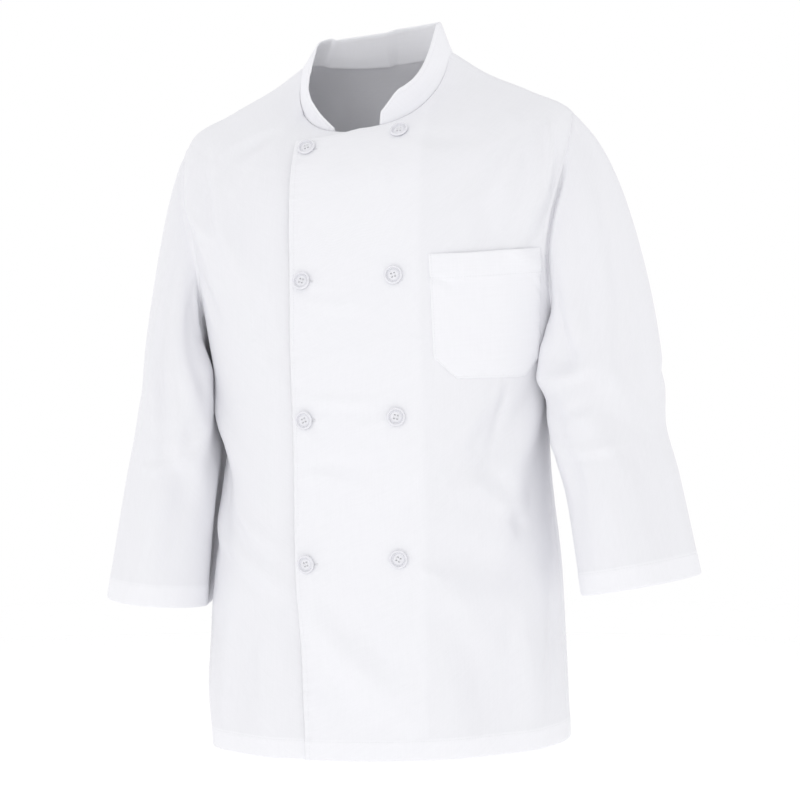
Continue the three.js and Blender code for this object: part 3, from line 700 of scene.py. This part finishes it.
# %% Back
BACK = panel(
    stations(BACK_WIDTH, STEP, fine_start=8, fine_end=8) / BACK_WIDTH,
    lambda down: 180 + side_reach(down, ARMHOLE_BACK),
    lambda down: 360 - side_reach(down, ARMHOLE_BACK),
)
finish_body(BACK, 31)
sew("back_cloth", BACK, TWILL)

# %% [markdown]
# ## Sleeves
# A sleeve is one cut: a cap that fits the armhole, and a tube closed by a seam under the arm. Its first
# row is the armhole's edge, and it flows from there into sections square to the arm. The left arm is held
# out a little and the right one hangs straighter. Where a sleeve would sink into the body, it gives way
# softly instead. Its first millimetres lie under the edge of the panels, where it is sewn on, and the slab
# meets itself in the seam under the arm.

# %% Sections of the arms
# at, x, y, z, out, fore, lean
SLEEVES = {
    "left": (186, np.array([
        [1, 253, -8, -345, 64, 74, 12],
        [2, 263, -20, -410, 60, 71, 12],
        [3, 281, -32, -465, 59, 68, 12],
        [4, 303, -46, -565, 62, 66, 11],
    ], float)),
    "right": (84, np.array([
        [1, 216, -12, -345, 46, 82, 6],
        [2, 217, -28, -415, 50, 76, 6],
        [3, 222, -36, -475, 55, 72, 6],
        [4, 237, -48, -597, 57, 69, 5],
    ], float)),
}
CAP_LEAVE_UNDER, CAP_SETTLE_TOP, CAP_SETTLE_UNDER, CAP_EASE = 34, 170, 40, 1.2
SLEEVE_CLEARANCE, SLEEVE_SOFTNESS, SLEEVE_HEM = 8, 6, 24
EASED_OVER = 8
# how far down the cap the folds and the creases reach their full height
FOLDS_START, CREASES_START = 0.2, 0.08
SLEEVE_INSET, SLEEVE_TUCK, SLEEVE_SINK = 2.9, 1.6, 1.35
SLEEVE_DEGREE, SLEEVE_SECTION = 1.2, 95
SLEEVE_FOLDS = {
    "left": [
        (50, 0.05, 62, 1.5, 10, 13, 4, 0), (110, 0.35, 74, 1.7, -12, 12, 4.5, 0),
        (165, 1.2, 88, 1.75, 8, 12, -4, 0), (175, 1.9, 60, 2.3, 8, 13, 4, 0),
        (30, 1.6, 22, 3.8, 6, 16, 4, 0), (100, 2.2, 112, 3.9, 0, 18, 4, 0),
        (300, 0.1, 296, 1.7, -10, 14, 4.5, 0), (200, 1.7, 290, 2.2, 8, 13, 4, 0),
        (250, 2, 244, 3.8, 0, 18, -4, 0), (142, 0.12, 138, 1.3, 0, 17, 13, 0),
    ],
    "right": [
        (70, 0.1, 92, 2, -8, 12, 4.5, 0), (120, 0.5, 110, 2.4, 8, 11, 4, 0),
        (40, 0.8, 52, 3.2, 8, 15, -4, 0), (150, 2.1, 70, 2.7, 8, 13, 4, 0),
        (96, 2.6, 100, 3.9, 0, 17, 4, 0), (300, 0.1, 300, 1.8, -10, 14, 4.5, 0),
        (200, 1.9, 290, 2.4, 8, 13, 4, 0), (260, 2.3, 252, 3.9, 0, 18, -4, 0),
        (142, 0.3, 140, 2.9, 0, 18, 9, 0),
    ],
}
SLEEVE_CREASES = {
    "left": [
        (108, 0.2, 104, 1.1, 4, 9, -3, 0.3), (40, 0.15, 58, 0.95, 6, 11, 3.2, 0.5),
        (165, 1.2, 88, 1.75, 8, 12, 2.6, 0), (152, 0.72, 78, 0.8, 5, 12, -4.8, -0.5),
        (130, 1.15, 84, 0.98, -6, 10, 2.2, 0.5), (74, 0.62, 30, 2.1, 8, 14, 4.2, 0.4),
        (118, 1.5, 86, 1.44, 6, 9, -1.8, 0.5), (122, 1.75, 88, 1.86, -8, 10, 1.4, 0.5),
        (134, 1, 112, 3.4, 3, 13, -3.8, 0.3), (168, 1.96, 76, 2.2, 8, 14, -2.4, 0.2),
        (96, 1.3, 60, 3.2, 5, 15, 2.8, 0.2), (60, 2.3, 52, 3.5, 0, 13, -2.6, 0.3),
        (84, 2.6, 92, 3.6, 4, 11, 2.9, 0.3), (332, 1.1, 354, 2, 8, 12, 2.3, 0.3),
        (340, 0.4, 352, 1.4, -6, 10, -2.6, 0.3), (236, 1.3, 280, 1.5, 6, 9, 3.5, 0.5),
        (232, 1.8, 284, 1.7, -6, 8, -3.2, 0.5), (300, 2.2, 290, 3.3, 4, 12, 2.6, 0.3),
        (260, 0.4, 282, 1, 6, 8, -2.9, 0.5), (318, 0.5, 306, 1.3, -6, 9, 2.6, 0.4),
    ],
    "right": [
        (94, 0.25, 142, 2.2, 6, 11, 4.8, 0.3), (78, 0.45, 106, 3.1, 4, 12, -4.6, 0.3),
        (172, 0.9, 176, 3, 0, 17, 3, 0), (112, 0.1, 135, 0.5, 2, 5, 2.6, 0.3),
        (133, 0.3, 196, 1.9, -6, 6, 2.9, 0.4), (110, 2.3, 130, 3.3, 4, 14, -3.8, 0.2),
        (60, 1.4, 66, 2.8, -4, 10, 2.3, 0.3), (150, 1.6, 104, 2, 6, 9, -1.6, 0.5),
        (144, 2.14, 80, 2.6, 8, 14, -2.6, 0.2), (30, 0.5, 24, 1.6, 4, 10, -2.3, 0.3),
        (236, 1.3, 280, 1.5, 6, 9, 3.5, 0.5), (230, 1.75, 276, 1.9, -6, 8, -2.9, 0.5),
        (292, 2.3, 300, 3.4, 3, 12, 2.6, 0.3), (262, 0.4, 284, 1.1, 6, 8, -2.9, 0.5),
        (330, 1.8, 344, 3, -4, 11, 2.3, 0.3),
    ],
}
print("arm sections:", {side: len(rows) for side, (_, rows) in SLEEVES.items()})


# %% Shape of a sleeve
def armhole_point(side, turn):
    """A point just inside the armhole's edge, and the way from there under the edge of the panel."""
    down = lerp(ARMHOLE_TOP, ARMHOLE_BOTTOM, (1 - np.cos(np.radians(turn))) / 2)
    front, back = armhole_reach(down, ARMHOLE_FRONT), -armhole_reach(down, ARMHOLE_BACK)
    reach = np.where(turn < 180, front, back)
    angle = reach if side == "left" else 180 - reach
    point = creased_body(angle, down)
    across = 0 if side == "left" else 180
    middle = creased_body(np.full(1, across), np.full(1, (ARMHOLE_TOP + ARMHOLE_BOTTOM) / 2))
    inward = unit(middle - point)
    tuck = -inward * (SLEEVE_INSET + SLEEVE_TUCK) - normals(creased_body, angle, down, 1, 4) * SLEEVE_SINK
    return point + inward * SLEEVE_INSET, tuck


def body_side(side, y, z):
    """How far the body's side reaches below the armhole."""
    ring = blended(BODY_RINGS, np.clip(ARMHOLE_BOTTOM + UNDERARM_Z - z, ARMHOLE_BOTTOM, BODY_LENGTH))
    share = np.clip(np.abs(y) / np.where(y < 0, ring[8], ring[9]), 0, 1)
    half = ring[7] * (1 - share ** ring[12]) ** (1 / ring[12])
    return half + ring[10] if side == "left" else half - ring[10]


def sleeve_form(side, turn, along):
    """Points of a sleeve without folds, for a grid whose columns each have one turn."""
    cap_fullness, sections = SLEEVES[side]
    _, x, y, z, out, fore, lean = blended(sections, np.maximum(along, 1))
    settle = np.stack(blended(sections, np.maximum(along, 1) + 0.05)[1:4], -1) - np.stack([x, y, z], -1)
    c, s = np.cos(np.radians(turn)), np.sin(np.radians(turn))
    lean = np.radians(lean)
    point = np.stack([x + out * c * np.cos(lean), y - fore * s, z + out * c * np.sin(lean)], -1)

    seam, tuck = armhole_point(side, turn[:1])
    if side == "right":
        seam[..., 0] *= -1
    high = ((1 + c) / 2)[..., None]
    leave = np.stack([lerp(0.5, 0.87, high[..., 0]), -0.35 * s, -lerp(0.85, 0.5, high[..., 0])], -1)
    leave = unit(leave) * lerp(CAP_LEAVE_UNDER, cap_fullness, high)
    settle = unit(settle) * lerp(CAP_SETTLE_UNDER, CAP_SETTLE_TOP, high)
    t = np.minimum(along, 1)[..., None]
    cap = lerp(seam, point, t * t * (3 - 2 * t)) + leave * t * (1 - t) ** 2 + settle * t * t * (t - 1)
    point = np.where(t < 1, cap, point)

    free = np.clip(along * 2, 0.05, 1)
    near = body_side(side, point[..., 1], point[..., 2]) + SLEEVE_CLEARANCE * free
    over = point[..., 0] - near
    eased = near + (over + np.hypot(over, SLEEVE_SOFTNESS * free)) / 2
    below = 1 - smooth(point[..., 2], UNDERARM_Z - EASED_OVER, UNDERARM_Z + EASED_OVER)
    point[..., 0] = lerp(point[..., 0], eased, below)
    if side == "right":
        point[..., 0] *= -1
    return point + tuck * (1 - smooth(along, 0, 0.1))[..., None]


def sleeve_point(side, turn, along):
    def form(a, b):
        return sleeve_form(side, np.mod(a, 360), b)

    height = 0
    for folds, start in ((SLEEVE_FOLDS[side], FOLDS_START), (SLEEVE_CREASES[side], CREASES_START)):
        rise = fold_height(folds, np.mod(turn, 360), along, SLEEVE_DEGREE, SLEEVE_SECTION)
        height = height + smooth(along, 0, start) * rise
    facing = 1 if side == "left" else -1
    return form(turn, along) + normals(form, turn, along, 2, 0.02) * (facing * height)[..., None]


print("shape of the sleeves")

# %% Lay the sleeves
CAP_ROWS, SLEEVE_COLUMNS = 66, 124
UNDERARM_GAP = 0.12
# a sleeve is drawn in beside the front of its armhole: how deep, how far down, from and to which turns
DRAWN_IN, DRAWN_AT, DRAWN_FROM, DRAWN_TO = {"left": 7, "right": 0.8}, 3.4, (48, 72), (112, 138)


def sleeve(side, seed):
    facing = 1 if side == "left" else -1
    arm = stations((len(SLEEVES[side][1]) - 1) * SLEEVE_SECTION, STEP, fine_end=SLEEVE_HEM + 6)
    along = np.concatenate([np.linspace(0, 1, CAP_ROWS)[:-1] ** CAP_EASE, 1 + arm / SLEEVE_SECTION])[:, None]
    round_arm = np.linspace(UNDERARM_GAP, 360 - UNDERARM_GAP, SLEEVE_COLUMNS)[None, :]
    turn = 180 + facing * round_arm
    made = Cloth(sleeve_point(side, *np.broadcast_arrays(turn, along)))
    turn_hem(made, SLEEVE_HEM, seed)
    made.raise_by(0.4 * (1 - smooth(made.top, 6, 11)) * smooth(made.top, 0, 4))
    made.raise_by(pucker(made.top, 9, made.across, 0.5, 9, seed + 1))
    turn = np.mod(turn, 360)
    front = smooth(turn, *DRAWN_FROM) * (1 - smooth(turn, *DRAWN_TO))
    made.raise_by(-DRAWN_IN[side] * front * np.exp(-((made.top / DRAWN_AT - 1) ** 2)))
    for edge in (made.left, made.right):
        made.raise_by(sunk_edge(edge) * smooth(made.top, 2, 20))
    return made


SLEEVE_PIECES = {}
for side, seed in (("left", 41), ("right", 51)):
    SLEEVE_PIECES[side] = sleeve(side, seed)
    sew(f"sleeve_{side}_cloth", SLEEVE_PIECES[side], TWILL)

# %% [markdown]
# ## Collar
# The stand collar is a straight band of double cloth, sewn to the neck edge and rounded off at its two
# ends, which stand apart in front. It is laid between the neck ring and a higher ring, and stitched once
# near its edge.

# %% Lay the collar
COLLAR_PLY, COLLAR_SEAT, COLLAR_EASING = 2.4, 1.0, 0.6
# from the centre line, height left at the end, degrees over which it is rounded off
LEFT_END, RIGHT_END = (25, 0.42, 20), (27, 0.1, 34)
# its lower edge lies over the panels: a share of its height, and how far it stands out there
COLLAR_OVERLAP, COLLAR_PROUD = 0.06, 0.35
COLLAR_STITCH, COLLAR_EDGE = 5, 0.7
COLLAR_COLUMNS, COLLAR_HEIGHT, COLLAR_STEP = 210, 45, 2.4


def collar_place(angle, up):
    """A place on the collar's middle surface. up is 0 at the seam and 1 at the top."""
    neck = BODY_RINGS[0]
    lift = np.where((angle > 90) & (angle < 270), under_lift(angle, np.zeros(angle.shape)), 0)
    along = unit(ring_point(neck, angle + 1) - ring_point(neck, angle - 1))
    square = normals(creased_body, angle, np.zeros(angle.shape), 1, 4)
    ahead = unit(np.cross(along, square))
    upward = ring_point(COLLAR_TOP, angle) - ring_point(neck, angle)
    outward = unit(np.cross(upward, along))
    tipped = np.abs((ahead * outward).sum(-1, keepdims=True)) * COLLAR_PLY / 2
    seam = creased_body(angle, np.zeros(angle.shape)) + square * lift[..., None]
    return seam + ahead * (COLLAR_SEAT + tipped) + upward * up[..., None]


def rounded(from_end, end):
    _, height, degrees = end
    return lerp(height, 1, np.sin(math.pi / 2 * np.clip(from_end / degrees, 0, 1)))


def collar():
    first, last = float(angle_at(-RIGHT_END[0], 0)), float(angle_at(LEFT_END[0], 0)) + 360
    even = np.linspace(0, 1, COLLAR_COLUMNS)[None, :]
    angle = lerp(first, last, lerp(even, (1 - np.cos(math.pi * even)) / 2, COLLAR_EASING))
    height = np.minimum(rounded(angle - first, RIGHT_END), rounded(last - angle, LEFT_END))
    rows = stations(COLLAR_HEIGHT, COLLAR_STEP, fine_start=8)[:, None] / COLLAR_HEIGHT
    angle, up = np.broadcast_arrays(np.mod(angle, 360), height * (1 - rows) - COLLAR_OVERLAP * rows)
    made = Cloth(collar_place(angle, up))
    made.raise_by((COLLAR_PLY - PLY) / 2 + COLLAR_PROUD * (1 - smooth(up, 0, 0.3)))
    made.ply[:] = COLLAR_PLY
    made.doubled[:] = 1
    edge = np.minimum(made.top, np.minimum(made.left, made.right))
    thinned = COLLAR_EDGE * np.exp(-edge)
    made.raise_by(groove(edge, COLLAR_STITCH, 0.2) - thinned)
    made.raise_by(pucker(edge, COLLAR_STITCH, made.across, 0.25, 6, 61))
    made.ply = made.ply - 2 * thinned
    return made


COLLAR = collar()
sew("collar_cloth", COLLAR, TWILL)

# %% [markdown]
# ## Breast pocket
# A patch with its mouth turned over twice and its lower corners clipped, sewn on round three sides. It is
# laid a hair's breadth off the front, and its mouth stands open by a millimetre, as a worn pocket's does.

# %% Lay the pocket
POCKET_TOP, POCKET_FALL, POCKET_BOTTOM = 278, 14, 430
POCKET_NEAR_TOP, POCKET_NEAR_BOTTOM, POCKET_WIDTH, POCKET_CORNER = 87, 91, 120, 22
POCKET_HEM, POCKET_GAP, POCKET_GAPE, POCKET_STITCH, POCKET_STEP = 27, 0.4, 1.2, 2.5, 1.8


def angle_along(angle, down, length):
    """The angle reached by going a length of cloth round the body towards the left side."""
    steps = 24
    for _ in range(steps):
        degree = np.linalg.norm(body_form(angle, down) - body_form(angle - 1, down), axis=-1)
        angle = angle - length / steps / degree
    return angle


def pocket():
    height = POCKET_BOTTOM - POCKET_TOP
    across = 1 - stations(POCKET_WIDTH, POCKET_STEP, 6, 6)[None, :] / POCKET_WIDTH
    below = stations(height, POCKET_STEP, POCKET_HEM + 5, 6)[:, None] / height
    down = POCKET_TOP + below * height + POCKET_FALL * across * (1 - below)
    clipped = np.maximum(0, POCKET_CORNER - (1 - below) * height)
    near = angle_at(lerp(POCKET_NEAR_TOP, POCKET_NEAR_BOTTOM, below), down)
    angle = angle_along(near, down, lerp(clipped, POCKET_WIDTH - clipped, across))
    made = Cloth(creased_body(angle, down))
    sides = np.minimum(made.left, made.right)
    made.ply = lerp(HEM_PLY, PLY, smooth(made.top, POCKET_HEM - 1.5, POCKET_HEM + 1.5))
    made.raise_by(POCKET_GAP + made.ply)
    made.doubled[:] = 1
    made.raise_by(POCKET_GAPE * smooth(sides, 4, 30) * (1 - smooth(made.top, 0, 50)))
    sewn = np.minimum(sides, made.bottom)
    made.raise_by(groove(sewn, POCKET_STITCH, 0.35, 1.2) - 0.6 * np.exp(-sewn / 0.9))
    made.raise_by(pucker(sewn, POCKET_STITCH, made.down + made.across, 0.3, 6, 71))
    made.raise_by(groove(made.top, POCKET_HEM - HEM_STITCH, 0.3) - 0.4 * np.exp(-made.top / 0.9))
    return made


POCKET = pocket()
sew("pocket_cloth", POCKET, TWILL)

# %% [markdown]
# ## Buttons
# Eight plastic buttons, turned with a flat foot, a rounded rim and a sunken middle with four holes. The
# profile is spun, and the holes are tubes between two discs that are filled round them, so light and thread
# pass through. Each button is turned a little, as a hand sews them, and stands on a wound shank of thread.

# %% Mould a button
# radius and height along the profile, from the foot's edge over the rim to the sunken middle
BUTTON_PROFILE = [
    (8.0, 0.0), (8.9, 0.35), (9.5, 1.0), (9.7, 1.8), (9.6, 2.5), (9.3, 2.95), (8.8, 3.22), (8.3, 3.3),
    (7.85, 3.15), (7.6, 2.6), (7.45, 1.8), (7.2, 1.1), (6.8, 0.75), (6.3, 0.85), (5.7, 1.4), (4.9, 1.65),
]
BUTTON_SIDES, HOLE_SIDES, HOLE_RADIUS, HOLE_AWAY = 64, 14, 0.95, 1.65
BUTTON_COLUMN, BUTTON_GAP, BUTTON_TURN, SHARP_BUTTON = 50.5, 0.7, 0.5, math.radians(38)
# side (1 is left) and level of each button
BUTTONS = [(1, 47), (-1, 82), (1, 303), (-1, 308), (1, 470), (-1, 474), (1, 618), (-1, 624)]


def pierced_disc(shape, radius, height):
    """A disc with four holes. Returns the edges of the holes."""
    rims = []
    for x, y, r, sides in [(0, 0, radius, BUTTON_SIDES)] + [
        (a * HOLE_AWAY, b * HOLE_AWAY, HOLE_RADIUS, HOLE_SIDES) for a in (-1, 1) for b in (-1, 1)
    ]:
        at = Matrix.Translation((x, y, height))
        circle = bmesh.ops.create_circle(shape, segments=sides, radius=r, matrix=at)["verts"]
        rims.append(list({edge for vert in circle for edge in vert.link_edges}))
    bmesh.ops.triangle_fill(shape, use_beauty=True, edges=[edge for rim in rims for edge in rim])
    return rims[1:]


def button_shape():
    shape = bmesh.new()
    upper, lower = pierced_disc(shape, *BUTTON_PROFILE[-1]), pierced_disc(shape, *BUTTON_PROFILE[0])
    for top, bottom in zip(upper, lower):
        bmesh.ops.bridge_loops(shape, edges=top + bottom)
    verts = [shape.verts.new((0, r, z)) for r, z in BUTTON_PROFILE]
    edges = [shape.edges.new(pair) for pair in zip(verts, verts[1:])]
    turned = {"cent": (0, 0, 0), "axis": (0, 0, 1), "angle": 2 * math.pi, "steps": BUTTON_SIDES}
    bmesh.ops.spin(shape, geom=verts + edges, **turned)
    bmesh.ops.remove_doubles(shape, verts=shape.verts, dist=0.01)
    bmesh.ops.recalc_face_normals(shape, faces=shape.faces)
    return shape


def on_lap(x, down, out):
    """A point above the lap's outer skin, and the way out of the cloth."""
    x, down = np.atleast_1d(np.asarray(x, float)), np.atleast_1d(np.asarray(down, float))
    angle = angle_at(x, down)
    normal = normals(creased_body, angle, down, 1, 4)
    return creased_body(angle, down) + normal * (PLY / 2 + LAP_RAISED + out), normal


rng = np.random.default_rng(7)
seats = []
for number, (side, level) in enumerate(BUTTONS, 1):
    point, normal = (a[0] for a in on_lap(side * BUTTON_COLUMN, level, BUTTON_GAP))
    turn = Matrix.Rotation(rng.uniform(-BUTTON_TURN, BUTTON_TURN), 4, "Z")
    upright = Vector(normal).to_track_quat("Z", "Y").to_matrix().to_4x4() @ turn
    seat = Matrix.Translation(Vector(point) * MM) @ upright @ Matrix.Scale(MM, 4)
    seats.append(seat)
    shape = button_shape()
    bmesh.ops.transform(shape, matrix=seat, verts=shape.verts)
    mesh = add_mesh(f"button_{number}_moulded", shape)
    mesh.shade_smooth()
    mesh.set_sharp_from_angle(angle=SHARP_BUTTON)
    new_object(mesh.name, mesh, PLASTIC, "button", f"button_{number}")
print(len(seats), "buttons of", len(mesh.polygons), "faces")

# %% [markdown]
# ## Thread
# Every seam that shows is sewn: the lap's edge and neck edge, the hems, the cuffs, the shoulders and
# armholes, the collar and the pocket, at about three stitches a centimetre. One stitch is a slim grain of
# thread, sunk halfway into its groove. It is copied along each row by array arithmetic, which is quicker
# than an array modifier for each row and needs no curve.

# %% One stitch, copied many times
STITCH, STITCH_STEP, STITCH_AIM, THREAD = 2.3, 3.0, 0.8, 0.24


def grain_of_thread():
    shape = bmesh.new()
    bmesh.ops.create_uvsphere(shape, u_segments=6, v_segments=4, radius=1)
    places = np.array([v.co for v in shape.verts])
    faces = [[v.index for v in face.verts] for face in shape.faces]
    shape.free()
    return places[:, [2, 0, 1]], faces


def lay_threads(name, centre, along, out, length, radius):
    """One mesh of many threads. Each lies along its own direction, with its own length."""
    places, faces = grain_of_thread()
    along, side = unit(along), unit(np.cross(out, along))
    over = np.cross(along, side)
    reach = np.broadcast_to(np.asarray(length, float) / 2, len(centre))[:, None, None]
    verts = centre[:, None] + places[None, :, :1] * along[:, None] * reach
    verts = verts + (places[None, :, 1:2] * side[:, None] + places[None, :, 2:] * over[:, None]) * radius
    count = len(places)
    mesh = bpy.data.meshes.new(name)
    copies = [[i + k * count for i in face] for k in range(len(centre)) for face in faces]
    mesh.from_pydata((verts.reshape(-1, 3) * MM).tolist(), [], copies)
    mesh.shade_smooth()
    new_object(name, mesh, THREAD_FINISH, "cloth")


def stitches(name, *rows):
    """Stitches along rows of points, each with the cloth's normals there."""
    laid = []
    for point, normal in rows:
        length = np.pad(np.cumsum(np.linalg.norm(np.diff(point, axis=0), axis=1)), (1, 0))
        at = np.arange(STITCH_STEP / 2, length[-1], STITCH_STEP)
        before, here, after, out = (
            np.stack([np.interp(place, length, axis) for axis in of.T], -1)
            for place, of in ((at - STITCH_AIM, point), (at, point), (at + STITCH_AIM, point), (at, normal))
        )
        laid.append((here, after - before, out))
    centre, along, out = (np.concatenate(parts) for parts in zip(*laid))
    lay_threads(name, centre, along, out, STITCH, THREAD)
    print(f"{name}: {len(centre)} stitches")


# %% Sew the rows
def hem_rows(*pieces):
    return [piece.line(piece.bottom, height - HEM_STITCH, "column") for piece, height in pieces]


beside_lap = (LEFT_FRONT.right > LAP_STITCH) & (LEFT_FRONT.right < NECK_STITCHED)
stitches(
    "stitches_lap",
    LEFT_FRONT.line(LEFT_FRONT.right, LAP_STITCH, where=LEFT_FRONT.top > LAP_STITCH),
    LEFT_FRONT.line(LEFT_FRONT.top, LAP_STITCH, "column", beside_lap),
)
stitches(
    "stitches_hems",
    *hem_rows(*((piece, HEM_HEIGHT) for piece in (LEFT_FRONT, RIGHT_FRONT, BACK))),
    *hem_rows(*((piece, SLEEVE_HEM) for piece in SLEEVE_PIECES.values())),
)
shoulders = (LEFT_FRONT, LEFT_FRONT.left), (RIGHT_FRONT, RIGHT_FRONT.right)
stitches(
    "stitches_shoulders",
    *(piece.line(edge, SHOULDER_STITCH, where=piece.level < ARMHOLE_BOTTOM - 4) for piece, edge in shoulders),
)
collar_ends, pocket_sides = (COLLAR.left, COLLAR.right), (POCKET.left, POCKET.right)
stitches(
    "stitches_collar",
    COLLAR.line(COLLAR.top, COLLAR_STITCH, "column", np.minimum(*collar_ends) > COLLAR_STITCH),
    *(COLLAR.line(end, COLLAR_STITCH, where=COLLAR.top > COLLAR_STITCH) for end in collar_ends),
)
stitches(
    "stitches_pocket",
    *(POCKET.line(side, POCKET_STITCH, where=POCKET.bottom > POCKET_STITCH) for side in pocket_sides),
    POCKET.line(POCKET.bottom, POCKET_STITCH, "column"),
    POCKET.line(POCKET.top, POCKET_HEM - HEM_STITCH, "column"),
)

# %% Thread on the buttons, and buttonholes
# bars of thread across a button: how many a side, how far apart, above the button and past the holes
BAR_THREADS, BAR_SPREAD, BAR_ABOVE, BAR_PAST = 3, 0.34, 0.12, 1.2
# the wound shank beneath it: turns, radians from one to the next, first and next depths, width
SHANK_TURNS, SHANK_TURN, SHANK_START, SHANK_STEP, SHANK_WIDTH = 5, 1.3, 0.1, 0.12, 4.2
BUTTON_THREAD, SATIN_THREAD = 0.26, 0.3
HOLE_START, HOLE_END, SATIN_STEP, SATIN, SATIN_AWAY, SATIN_ABOVE = -7.5, 12.5, 0.55, 1.6, 0.95, 0.08
threads = []
for seat in seats:
    x_way, y_way, z_way = (np.array(seat.col[i][:3]) / MM for i in range(3))
    origin = np.array(seat.translation) / MM
    for side in (-1, 1):
        for k in range(BAR_THREADS):
            sideways = side * HOLE_AWAY + (k - 1) * BAR_SPREAD
            centre = origin + x_way * sideways + z_way * (BUTTON_PROFILE[-1][1] + BAR_ABOVE)
            threads.append((centre, y_way, z_way, 2 * HOLE_AWAY + BAR_PAST))
    for k in range(SHANK_TURNS):
        spoke = x_way * math.cos(k * SHANK_TURN) + y_way * math.sin(k * SHANK_TURN)
        threads.append((origin - z_way * (SHANK_START + SHANK_STEP * k), spoke, z_way, SHANK_WIDTH))
lay_threads("button_threads", *map(np.array, zip(*threads)), BUTTON_THREAD)

step = np.arange(HOLE_START, HOLE_END, SATIN_STEP)
levels = [level for side, level in BUTTONS if side < 0]
x = np.concatenate([-BUTTON_COLUMN + step for level in levels])
down = np.concatenate([np.full(step.shape, level) for level in levels])
bars = [on_lap(x, down + away, SATIN_ABOVE) for away in (-SATIN_AWAY, SATIN_AWAY)]
across = bars[1][0] - bars[0][0]
lay_threads(
    "buttonholes",
    np.concatenate([point for point, _ in bars]),
    np.concatenate([across, across]),
    np.concatenate([normal for _, normal in bars]),
    SATIN, SATIN_THREAD,
)
print("threads on the buttons:", len(threads), "and round the buttonholes:", 2 * len(x))

def declare(name, cloth, held, *rests_on):
    """The flat cut: its greatest width and length along the cloth, and its area."""
    flat = float(cloth.across[:, -1].max() * MM), float(cloth.down[-1].max() * MM)
    float(cloth.area())
    print(f"{name}: {flat[0]:.3f} x {flat[1]:.3f} m, {cloth.area():.4f} square metres, {held}")


declare("front_left_cloth", LEFT_FRONT, "hung", "front_right_cloth")
declare("front_right_cloth", RIGHT_FRONT, "hung")
declare("back_cloth", BACK, "hung")
declare("sleeve_left_cloth", SLEEVE_PIECES["left"], "hung")
declare("sleeve_right_cloth", SLEEVE_PIECES["right"], "hung")
declare("collar_cloth", COLLAR, "folded", "front_left_cloth", "front_right_cloth", "back_cloth")
declare("pocket_cloth", POCKET, "laid", "front_left_cloth")
